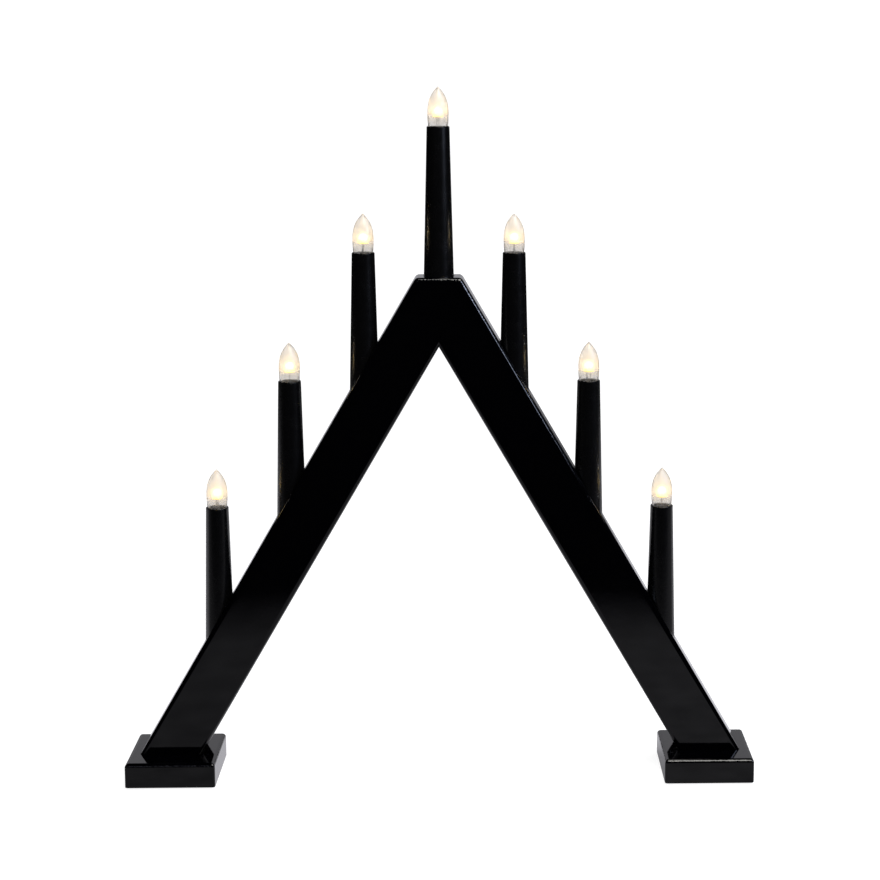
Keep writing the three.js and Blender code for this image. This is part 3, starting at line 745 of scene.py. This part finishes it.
def gloss_lacquer(finish):
    """Sprayed high-gloss lacquer on sanded wood: near black and mirror-like, with a faint orange peel and a
    few grains of dust. On the rounded edges of the crest and the feet, where the pieces' `arris` attribute
    is high, the lacquer has drawn into uneven beads that break up the highlights."""
    material, tree = new_material("gloss_lacquer")
    peel = add_node(tree, "ShaderNodeBump", {
        "Height": grain(tree, size_mm=3.2, detail=1.0), "Distance": 0.008 * MM,
    })
    fine = add_node(tree, "ShaderNodeBump", {
        "Height": grain(tree, size_mm=0.9), "Distance": 0.0015 * MM, "Normal": peel,
    })
    specks = add_node(tree, "ShaderNodeMapRange", (grain(tree, size_mm=1.4, detail=0.0), 0.76, 0.84, 0, 1))
    dusty = add_node(tree, "ShaderNodeBump", {"Height": specks, "Distance": 0.02 * MM, "Normal": fine})
    rounded = add_node(tree, "ShaderNodeAttribute", attribute_name="arris").outputs["Fac"]
    blotches = grain(tree, size_mm=1.6, detail=1.0)
    beads = add_node(tree, "ShaderNodeMath", (rounded, blotches), operation="MULTIPLY")
    normal = add_node(tree, "ShaderNodeBump", {"Height": beads, "Distance": 0.2 * MM, "Normal": dusty})
    sheen, rough = grain(tree, size_mm=14, detail=3.0), finish.lacquer_roughness
    shader = add_node(tree, "ShaderNodeBsdfPrincipled", {
        "Base Color": finish.lacquer, "IOR": 1.5, "Normal": normal,
        "Roughness": add_node(tree, "ShaderNodeMapRange", (sheen, *NOISE, rough * 0.8, rough * 1.3)),
    })
    add_node(tree, "ShaderNodeOutputMaterial", {"Surface": shader})
    return material


def moulded_plastic(name, tone, rough, texture_mm, depth_mm, specular=0.5):
    """Injection-moulded plastic: even colour, satin sheen with slight variation, and the mould's fine
    spark-eroded texture."""
    material, tree = new_material(name)
    normal = add_node(tree, "ShaderNodeBump", {"Height": grain(tree, texture_mm), "Distance": depth_mm * MM})
    sheen = grain(tree, size_mm=6, detail=3.0)
    shader = add_node(tree, "ShaderNodeBsdfPrincipled", {
        "Base Color": tone, "IOR": 1.53, "Specular IOR Level": specular, "Normal": normal,
        "Roughness": add_node(tree, "ShaderNodeMapRange", (sheen, *NOISE, rough * 0.88, rough * 1.15)),
    })
    add_node(tree, "ShaderNodeOutputMaterial", {"Surface": shader})
    return material


def plated_metal(name, tone, rough, scratch_mm):
    """Plated sheet metal: the plating's colour, with a soft, slightly streaky sheen from rolling."""
    material, tree = new_material(name)
    streaks = grain(tree, scratch_mm, detail=3.0, stretch=(1, 1, 6))
    shader = add_node(tree, "ShaderNodeBsdfPrincipled", {
        "Base Color": tone, "Metallic": 1.0,
        "Roughness": add_node(tree, "ShaderNodeMapRange", (streaks, *NOISE, rough * 0.7, rough * 1.5)),
        "Normal": add_node(tree, "ShaderNodeBump", {"Height": streaks, "Distance": 0.003 * MM}),
    })
    add_node(tree, "ShaderNodeOutputMaterial", {"Surface": shader})
    return material


def wool_felt(finish):
    """Needled wool felt: matt, with tangled fibres drawn somewhat coarser than real, so that they show."""
    material, tree = new_material("wool_felt")
    fibres = grain(tree, size_mm=0.5, detail=5.0, roughness=0.7)
    tone = add_node(tree, "ShaderNodeMix", {
        "Factor": fibres, "A": shaded(finish.felt, 0.6), "B": shaded(finish.felt, 1.5),
    }, data_type="RGBA").outputs["Result"]
    shader = add_node(tree, "ShaderNodeBsdfPrincipled", {
        "Base Color": tone, "Roughness": 0.95, "Sheen Weight": 0.3,
        "Normal": add_node(tree, "ShaderNodeBump", {"Height": fibres, "Distance": 0.15 * MM}),
    })
    add_node(tree, "ShaderNodeOutputMaterial", {"Surface": shader})
    return material


def soft_rubber(name, tone):
    """Matt black rubber or PVC: dull, with a slight bloom."""
    material, tree = new_material(name)
    bloom = grain(tree, size_mm=2.5, detail=4.0)
    pores = grain(tree, size_mm=0.4)
    shader = add_node(tree, "ShaderNodeBsdfPrincipled", {
        "Base Color": tone, "IOR": 1.5,
        "Roughness": add_node(tree, "ShaderNodeMapRange", (bloom, *NOISE, 0.5, 0.68)),
        "Normal": add_node(tree, "ShaderNodeBump", {"Height": pores, "Distance": 0.006 * MM}),
    })
    add_node(tree, "ShaderNodeOutputMaterial", {"Surface": shader})
    return material


def plain_beech(finish):
    """Turned beech rod: pale wood with fine darker flecks along its length."""
    material, tree = new_material("plain_beech")
    flecks = grain(tree, size_mm=0.5, detail=3.0, stretch=(0.12, 1, 1))
    tone = add_node(tree, "ShaderNodeMix", {
        "Factor": add_node(tree, "ShaderNodeMapRange", (flecks, *NOISE, 0, 1)),
        "A": finish.beech, "B": shaded(finish.beech, 0.55),
    }, data_type="RGBA").outputs["Result"]
    shader = add_node(tree, "ShaderNodeBsdfPrincipled", {
        "Base Color": tone, "Roughness": 0.6,
        "Normal": add_node(tree, "ShaderNodeBump", {"Height": flecks, "Distance": 0.02 * MM}),
    })
    add_node(tree, "ShaderNodeOutputMaterial", {"Surface": shader})
    return material


def clear_polycarbonate(finish, bulb):
    """Blown clear polycarbonate: glassy, a little wavy where it cooled, with painted shade that greys its
    colour where one looks along its wall, open to the lamps' light, and with a slight haze that the LED
    inside lights up. Haze and blur thin out towards the cap, by the height above the sleeve's mouth in the
    piece's `rise` attribute."""
    material, tree = new_material("clear_polycarbonate")
    waves = grain(tree, size_mm=3.5, detail=1.0)
    normal = add_node(tree, "ShaderNodeBump", {"Height": waves, "Distance": 0.03 * MM})
    # Painted shade: the glass colour greys by the Layer Weight's facing, where one looks along the wall
    grazing = add_node(tree, "ShaderNodeLayerWeight", {"Blend": 0.5}).outputs["Facing"]
    tone = add_node(tree, "ShaderNodeMix", {
        "Factor": add_node(tree, "ShaderNodeMapRange", (grazing, 0.45, 1, 0, 1)),
        "A": finish.envelope, "B": finish.envelope_edge_shade,
    }, data_type="RGBA").outputs["Result"]
    rise = add_node(tree, "ShaderNodeAttribute", attribute_name="rise").outputs["Fac"]
    flange, hazy = bulb.led_flange_rise, finish.haze
    blur = add_node(tree, "ShaderNodeMapRange", (
        rise, flange / 2, flange * 1.6, finish.low_blur, finish.high_blur,
    ))
    clear = add_node(tree, "ShaderNodeBsdfGlass", {
        "Color": tone, "Roughness": blur, "IOR": 1.49, "Normal": normal,
    })
    haze = add_node(tree, "ShaderNodeBsdfTranslucent", {"Color": finish.envelope})
    clouds = grain(tree, size_mm=4.5)
    cloudy = add_node(tree, "ShaderNodeMapRange", (clouds, *NOISE, hazy * 0.85, hazy * 1.15))
    cloudy = add_node(tree, "ShaderNodeMapRange", (rise, 0, flange, hazy * 0.25, cloudy))
    plastic = add_node(tree, "ShaderNodeMixShader", (cloudy, clear, haze))
    through = add_node(tree, "ShaderNodeBsdfTransparent", {"Color": finish.envelope})
    shadow = add_node(tree, "ShaderNodeLightPath").outputs["Is Shadow Ray"]
    shader = add_node(tree, "ShaderNodeMixShader", (shadow, plastic, through))
    add_node(tree, "ShaderNodeOutputMaterial", {"Surface": shader})
    return material


def led_resin(finish, bulb):
    """Cast LED resin, lit from inside: warm white, brightest round the chip in its lens and weaker in the
    flange below it, with a slightly uneven glow from the phosphor. The height above the sleeve's mouth comes
    from the piece's `rise` attribute."""
    material, tree = new_material("led_resin")
    rise = add_node(tree, "ShaderNodeAttribute", attribute_name="rise").outputs["Fac"]
    chip, glow = bulb.led_top - bulb.led_lens / 2, finish.glow_strength
    full = add_node(tree, "ShaderNodeMapRange", (rise, bulb.led_flange_rise, chip, 0.08, 1))
    phosphor = grain(tree, size_mm=1.5, detail=1.0)
    uneven = add_node(tree, "ShaderNodeMapRange", (phosphor, *NOISE, glow * 0.9, glow * 1.1))
    shader = add_node(tree, "ShaderNodeBsdfPrincipled", {
        "Base Color": finish.resin, "Roughness": 0.2, "IOR": 1.5, "Emission Color": finish.glow,
        "Emission Strength": add_node(tree, "ShaderNodeMath", (full, uneven), operation="MULTIPLY"),
    })
    add_node(tree, "ShaderNodeOutputMaterial", {"Surface": shader})
    return material


# Operators

def settings(context, *names):
    """The named groups of settings."""
    return [getattr(context.scene, f"candle_stand_{name}") for name in names]


def finish_nodes(names, material):
    """Gives CAD nodes that stay a material of their own."""
    for name in names:
        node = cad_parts[name]
        node.data.materials.clear()
        node.data.materials.append(material)


class CANDLE_STAND_OT_beams(bpy.types.Operator):
    """Make the two lacquered beams with their bores and grooves"""
    bl_idname = "candle_stand.beams"
    bl_label = "Beams"

    def execute(self, context):
        stand, finish = settings(context, "stand", "finish")
        lines = Lines(stand)
        material = gloss_lacquer(finish)
        for name, side in SIDES.items():
            piece = add_mesh(f"{name}_beam_lacquered", mirrored(beam_surface(lines, stand), side))
            cut(piece, beam_tools(lines, stand, side))
            arris(piece, axis=1, face=lines.half_depth, edge=stand.beam_edge,
                  start=lines.crest - 2 * stand.beam_edge)
            dress(piece, material, "stand", "lacquer", f"{name}_beam")
        return {"FINISHED"}


class CANDLE_STAND_OT_feet(bpy.types.Operator):
    """Make the two lacquered feet, and finish their pads and screws"""
    bl_idname = "candle_stand.feet"
    bl_label = "Feet"

    def execute(self, context):
        stand, finish = settings(context, "stand", "finish")
        material = bpy.data.materials["gloss_lacquer"]
        for name, side in SIDES.items():
            piece = add_mesh(f"{name}_foot_lacquered", foot_surface(side, stand))
            cut(piece, screw_tools(stand, side))
            arris(piece, axis=2, face=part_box(f"{name}_foot")[1].z, edge=stand.foot_top_edge, start=0)
            dress(piece, material, "stand", "lacquer", f"{name}_foot")
        finish_nodes([f"{name}_foot_pad" for name in SIDES], wool_felt(finish))
        screws = [f"{name}_foot_screw_{number}" for name in SIDES for number in (1, 2)]
        finish_nodes(screws, plated_metal("zinc_plated_steel", finish.zinc, rough=0.3, scratch_mm=0.8))
        return {"FINISHED"}


class CANDLE_STAND_OT_wiring(bpy.types.Operator):
    """Make the cord's grommet, and finish the leads, cover strips and dowels"""
    bl_idname = "candle_stand.wiring"
    bl_label = "Wiring"

    def execute(self, context):
        stand, finish = settings(context, "stand", "finish")
        insulation = soft_rubber("pvc_insulation", finish.insulation)
        finish_nodes([f"{name}_wire_loom" for name in SIDES], insulation)
        strip = moulded_plastic("extruded_plastic", finish.strip, 0.38, texture_mm=0.8, depth_mm=0.002)
        finish_nodes([f"{name}_cover_strip" for name in SIDES], strip)
        finish_nodes([f"mitre_dowel_{number}" for number in (1, 2)], plain_beech(finish))
        low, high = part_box("cord_grommet")
        flange, neck, bore = (high.x - low.x) / 2, stand.grommet_neck / 2, stand.grommet_bore / 2
        back = Lines(stand).half_depth
        profile = filleted([
            (bore, low.y, stand.grommet_entry), (neck, low.y, SOFT_EDGE), (neck, back, 0),
            (flange, back, EASED_EDGE), (flange - stand.grommet_draft, high.y, stand.grommet_crown),
            (bore, high.y, stand.grommet_lip),
        ])
        rows = lathe(profile, FACETS["grommet"])[..., [0, 2, 1]] * [1, 1, -1]
        rows += [(low.x + high.x) / 2, 0, (low.z + high.z) / 2]
        piece = add_mesh("cord_grommet_moulded", skin(rows, ring=True))
        dress(piece, soft_rubber("moulded_rubber", finish.rubber), "stand", "grommet", "cord_grommet")
        return {"FINISHED"}


class CANDLE_STAND_OT_candles(bpy.types.Operator):
    """Make the seven tapered sleeves and the lamp holders in them"""
    bl_idname = "candle_stand.candles"
    bl_label = "Candles"

    def execute(self, context):
        stand, candle, bulb, finish = settings(context, "stand", "candle", "bulb", "finish")
        levels = Levels(candle, bulb, stand.play)
        satin = moulded_plastic("satin_plastic", finish.sleeve, finish.sleeve_roughness, texture_mm=2.2,
                                depth_mm=0.04, specular=0.38)
        phenolic = moulded_plastic("phenolic_plastic", finish.holder, 0.45, texture_mm=0.5, depth_mm=0.003)
        for number in CANDLES:
            x, _, mouth = candle_place(number)
            rows = lathe(sleeve_profile(levels, candle, stand.play), candle.sides, x, mouth)
            name = f"candle_{number}_sleeve"
            dress(add_mesh(f"{name}_moulded", skin(rows, ring=True)), satin, "stand", "sleeve", name)
            profile = holder_profile(levels, candle, bulb, stand.play)
            rows = lathe(profile, FACETS["holder"], x, mouth)
            name = f"candle_{number}_lamp_holder"
            dress(add_mesh(f"{name}_moulded", skin(rows)), phenolic, "stand", "holder", name)
        return {"FINISHED"}


class CANDLE_STAND_OT_bulbs(bpy.types.Operator):
    """Make the seven bulbs: cap, contact, clear envelope and LED"""
    bl_idname = "candle_stand.bulbs"
    bl_label = "Bulbs"

    def execute(self, context):
        stand, candle, bulb, finish = settings(context, "stand", "candle", "bulb", "finish")
        levels = Levels(candle, bulb, stand.play)
        nickel = plated_metal("nickel_plated_brass", finish.nickel, rough=0.25, scratch_mm=0.8)
        solder = plated_metal("solder", finish.solder, rough=0.4, scratch_mm=0.6)
        tinned = plated_metal("tinned_wire", finish.tin, rough=0.3, scratch_mm=0.4)
        phenolic = bpy.data.materials["phenolic_plastic"]
        clear = clear_polycarbonate(finish, bulb)
        resin = led_resin(finish, bulb)
        contact = contact_profile(levels, bulb)
        led, led_foot = led_profile(bulb), led_foot_profile(levels, bulb, stand.play)
        for number in CANDLES:
            x, _, mouth = candle_place(number)
            turn = math.radians(LEAD_TURNS[number - 1])
            pieces = {
                "cap_threaded": (cap_rows(levels, bulb, x, mouth), nickel, "cap"),
                "contact_soldered": (lathe(contact, FACETS["contact"], x, mouth), solder, "contact"),
                "envelope_blown": (envelope_rows(levels, bulb, x, mouth), clear, "envelope"),
                "led_cast": (lathe(led, FACETS["led"], x, mouth), resin, "led"),
                "led_foot": (lathe(led_foot, FACETS["led_foot"], x, mouth), phenolic, "led"),
                "led_lead_1": (lead_rows(levels, bulb, -1, turn, x, mouth), tinned, "led"),
                "led_lead_2": (lead_rows(levels, bulb, 1, turn, x, mouth), tinned, "led"),
            }
            for name, (rows, material, part) in pieces.items():
                body = f"bulb_{number}_contact" if part == "contact" else f"bulb_{number}"
                surface = skin(rows, ring=part == "envelope")
                piece = add_mesh(f"bulb_{number}_{name}", surface)
                if material in (clear, resin):
                    mark(piece, "rise", surface[0][:, 2] - mouth)
                dress(piece, material, body, part, f"bulb_{number}_{part}")
        return {"FINISHED"}


# Each lamp's name, place, aim, width, height, level and colour. The key lamp stands to the right and is
# brighter in its upper half, one hangs overhead, and a weak one fills from the front left.
LAMPS = (
    ("key_lamp_upper", (1.29, -0.80, 1.08), (0, 0, 0.30), 0.45, 0.32, 17.0, "#d6e2ff"),
    ("key_lamp_lower", (1.29, -0.80, 0.76), (0, 0, 0.25), 0.45, 0.28, 7.0, "#d6e2ff"),
    ("overhead_lamp", (0.42, -0.52, 1.50), (0.20, 0, 0), 0.80, 0.80, 8.0, "#fffdf8"),
    ("fill_lamp", (-0.60, -1.40, 1.05), (0, 0, 0.30), 0.35, 0.35, 1.0, "#e8eaff"),
)


def add_lamp(name, at, aim, width, height, level, tone):
    """A rectangular lamp that faces the aim, which isn't straight below it, and whose surface has that
    brightness."""
    data = bpy.data.lights.new(name, "AREA")
    data.shape = "RECTANGLE"
    data.size, data.size_y = width, height
    data.color = tone[:3]
    data.energy = level * width * height * math.pi
    lamp = bpy.data.objects.new(name, data)
    at, aim = np.array(at, float), np.array(aim, float)
    back = (at - aim) / np.linalg.norm(at - aim)
    right = np.cross([0, 0, 1], back)
    right = right / np.linalg.norm(right)
    turn = np.stack([right, np.cross(back, right), back, at], -1)
    lamp.matrix_world = Matrix([*turn.tolist(), [0, 0, 0, 1]])
    bpy.context.scene.collection.objects.link(lamp)


def ray_kinds(tree):
    """Three values: one for the camera's own rays, one for rays that have passed through the bulbs'
    envelopes, and one for other glossy rays."""
    path = add_node(tree, "ShaderNodeLightPath").outputs
    through = add_node(tree, "ShaderNodeMath", (path["Transmission Depth"], 0.5), operation="GREATER_THAN")
    glossy = add_node(tree, "ShaderNodeMath", (path["Is Glossy Ray"], through), operation="SUBTRACT",
                      use_clamp=True)
    return path["Is Camera Ray"], through, glossy


def studio_world(studio):
    """White where the camera looks past the part or through glass. Matt surfaces see an even room, and glossy
    ones a dark room."""
    world = bpy.data.worlds.new("studio")
    world.use_nodes = True
    tree = world.node_tree
    tree.nodes.clear()
    camera, through, glossy = ray_kinds(tree)
    seen = add_node(tree, "ShaderNodeMath", (camera, through), operation="MAXIMUM")
    room = add_node(tree, "ShaderNodeMapRange", (glossy, 0, 1, studio.room_level, studio.room_gloss))
    level = add_node(tree, "ShaderNodeMapRange", (seen, 0, 1, room, 1))
    background = add_node(tree, "ShaderNodeBackground", {"Color": (1, 1, 1, 1), "Strength": level})
    add_node(tree, "ShaderNodeOutputWorld", {"Surface": background})
    return world


# Stretches over which the sweep's look in gloss changes, in metres to the right, to the back and up
FADE_IN_END = -0.33
ACROSS = (-0.25, 0.25)
FRONTS = (-0.034, -0.028)
# Painted shade: before this slanting edge the sweep stays dark in gloss as painted shadow of the stand, and
# behind it lighter
STAND_SHADOW_EDGE = (-0.02, 0.03)
EASING_OFF = (0.3, 1.3)
DARK_SIDES = (0.27, 0.34)
DARK_TOP = (0.22, 0.30)
DARK_START = (0.9, 1.2)

# The slant of the painted shadow edge
SLANT = -0.28                   # added to the depth for each metre to the right
CLOUDS_MM = 30
CLOUDY = (0.8, 1.2)             # the clouds' levels, as shares of the front part's
# Painted light: the front part shows brighter to the right, where the key lamp stands
KEY_LIGHT_ACROSS = (0.84, 1.16)    # the front part's levels at both ends of ACROSS, as shares


def sweep_gloss(tree, studio):
    """How bright the sweep shows in gloss. It fades in from its front edge, a little cloudy and brighter to
    the right, grows lighter along a slanting edge just behind the stand's fronts, and eases off towards its
    upright back, whose lower part is dark to both sides. These levels are painted light and shade: the
    brighter right stands in for the key lamp's light, and the slanting edge leaves the paper just left of the
    right foot dark as painted shadow of the stand."""
    where = add_node(tree, "ShaderNodeTexCoord").outputs["Object"]
    x, depth, height = add_node(tree, "ShaderNodeSeparateXYZ", (where,)).outputs
    cloudy = (studio.front_gloss * level for level in CLOUDY)
    clouds = add_node(tree, "ShaderNodeMapRange", (grain(tree, CLOUDS_MM), *NOISE, *cloudy))
    across = add_node(tree, "ShaderNodeMapRange", (x, *ACROSS, *KEY_LIGHT_ACROSS))
    front = add_node(tree, "ShaderNodeMath", (clouds, across), operation="MULTIPLY")
    front = add_node(tree, "ShaderNodeMapRange", (depth, -studio.sweep_front, FADE_IN_END, 0, front))
    aslant = add_node(tree, "ShaderNodeMath", (x, SLANT, depth), operation="MULTIPLY_ADD")
    level = add_node(tree, "ShaderNodeMapRange", (aslant, *STAND_SHADOW_EDGE, front, studio.near_gloss))
    level = add_node(tree, "ShaderNodeMapRange", (depth, *FRONTS, front, level))
    back = add_node(tree, "ShaderNodeMapRange", (depth, *EASING_OFF, studio.near_gloss, studio.back_gloss))
    level = add_node(tree, "ShaderNodeMath", (level, back), operation="MINIMUM")
    side = add_node(tree, "ShaderNodeMath", (x,), operation="ABSOLUTE")
    dark = add_node(tree, "ShaderNodeMapRange", (side, *DARK_SIDES, 0, 1))
    dark = add_node(tree, "ShaderNodeMapRange", (height, *DARK_TOP, dark, 0))
    dark = add_node(tree, "ShaderNodeMapRange", (depth, *DARK_START, 0, dark))
    return add_node(tree, "ShaderNodeMapRange", (dark, 0, 1, level, 0))


def studio_sweep(studio):
    """Pale paper: grey to matt surfaces, and lifted to white for the camera, where it still keeps the part's
    shadow. It shows plain white through glass, and in gloss it has painted levels of light and shade of its
    own."""
    material, tree = new_material("pale_paper")
    camera, through, glossy = ray_kinds(tree)
    lift = add_node(tree, "ShaderNodeMath", (camera, studio.sweep_lift), operation="MULTIPLY")
    matt = add_node(tree, "ShaderNodeBsdfDiffuse", {"Color": studio.sweep_grey})
    white = add_node(tree, "ShaderNodeEmission", {"Color": (1, 1, 1, 1), "Strength": lift})
    lit = add_node(tree, "ShaderNodeAddShader", (matt, white))
    in_gloss = add_node(tree, "ShaderNodeEmission", {
        "Color": studio.sweep_tone, "Strength": sweep_gloss(tree, studio),
    })
    behind_glass = add_node(tree, "ShaderNodeEmission", {"Color": (1, 1, 1, 1), "Strength": 1.0})
    shader = add_node(tree, "ShaderNodeMixShader", (glossy, lit, in_gloss))
    shader = add_node(tree, "ShaderNodeMixShader", (through, shader, behind_glass))
    add_node(tree, "ShaderNodeOutputMaterial", {"Surface": shader})
    return material


def sweep_surface(studio):
    """A strip of paper: level from its front edge to the bend, a quarter turn of the bend's radius, and
    upright to its top. It is a single layer of faces on the ground that the part stands on."""
    turn = np.linspace(0, math.pi / 2, STEPS["bend"])
    bend, back = studio.sweep_bend, studio.sweep_back
    y = np.concatenate([[-studio.sweep_front], back - bend + bend * np.sin(turn), [back]])
    z = np.concatenate([[0], bend * (1 - np.cos(turn)), [studio.sweep_top]])
    across = studio.sweep_width / 2 * np.array([-1, 1])
    points = np.stack(np.broadcast_arrays(across, y[:, None], z[:, None]), -1).reshape(-1, 3)
    first = 2 * np.arange(len(y) - 1)[:, None]
    return points, (first + [0, 1, 3, 2]).ravel(), np.full(len(y) - 1, 4)


class CANDLE_STAND_OT_stage(bpy.types.Operator):
    """Make the camera, lamps, world and floor"""
    bl_idname = "candle_stand.stage"
    bl_label = "Stage"

    def execute(self, context):
        studio, = settings(context, "studio")
        scene = context.scene
        scene.view_settings.view_transform = "Standard"
        scene.world = studio_world(studio)

        sweep = add_mesh("sweep", sweep_surface(studio))
        sweep.data.polygons.foreach_set("use_smooth", np.ones(len(sweep.data.polygons), bool))
        sweep.data.materials.append(studio_sweep(studio))

        for name, at, aim, width, height, level, tone in LAMPS:
            add_lamp(name, at, aim, width, height, level, linear(tone))

        data = bpy.data.cameras.new("camera")
        data.sensor_width = studio.sensor / MM
        data.lens = studio.focal_length / MM
        data.shift_x = (IMAGE_SIDE / 2 - studio.axis_column) / IMAGE_SIDE
        data.shift_y = (studio.axis_row - IMAGE_SIDE / 2) / IMAGE_SIDE
        data.clip_start, data.clip_end = 0.01, 50
        camera = bpy.data.objects.new("camera", data)
        turn = Matrix.Rotation(studio.camera_turn, 4, "Z") @ Matrix.Rotation(
            math.pi / 2 - studio.camera_pitch, 4, "X") @ Matrix.Rotation(studio.camera_roll, 4, "Z")
        camera.matrix_world = Matrix.Translation((studio.camera_x, studio.camera_y, studio.camera_z)) @ turn
        scene.collection.objects.link(camera)
        scene.camera = camera
        return {"FINISHED"}


OPERATORS = (
    CANDLE_STAND_OT_beams, CANDLE_STAND_OT_feet, CANDLE_STAND_OT_wiring, CANDLE_STAND_OT_candles,
    CANDLE_STAND_OT_bulbs, CANDLE_STAND_OT_stage,
)


class CANDLE_STAND_PT_panel(bpy.types.Panel):
    """Lists the candle holder's pieces"""
    bl_label = "Candle Holder"
    bl_idname = "CANDLE_STAND_PT_panel"
    bl_space_type = "VIEW_3D"
    bl_region_type = "UI"
    bl_category = "Candle Holder"

    def draw(self, context):
        for operator in OPERATORS:
            self.layout.operator(operator.bl_idname)


def register():
    """Registers the classes and puts the groups of settings on the scene."""
    for cls in (*GROUPS.values(), *OPERATORS, CANDLE_STAND_PT_panel):
        bpy.utils.register_class(cls)
    for name, group in GROUPS.items():
        setattr(bpy.types.Scene, f"candle_stand_{name}", PointerProperty(type=group))


def unregister():
    """Removes the groups of settings and the classes."""
    for name in GROUPS:
        delattr(bpy.types.Scene, f"candle_stand_{name}")
    for cls in (CANDLE_STAND_PT_panel, *reversed(OPERATORS), *reversed(GROUPS.values())):
        bpy.utils.unregister_class(cls)


def main():
    """Builds everything in order."""
    register()
    for operator in OPERATORS:
        group, name = operator.bl_idname.split(".")
        getattr(getattr(bpy.ops, group), name)()


if __name__ == "__main__":
    main()
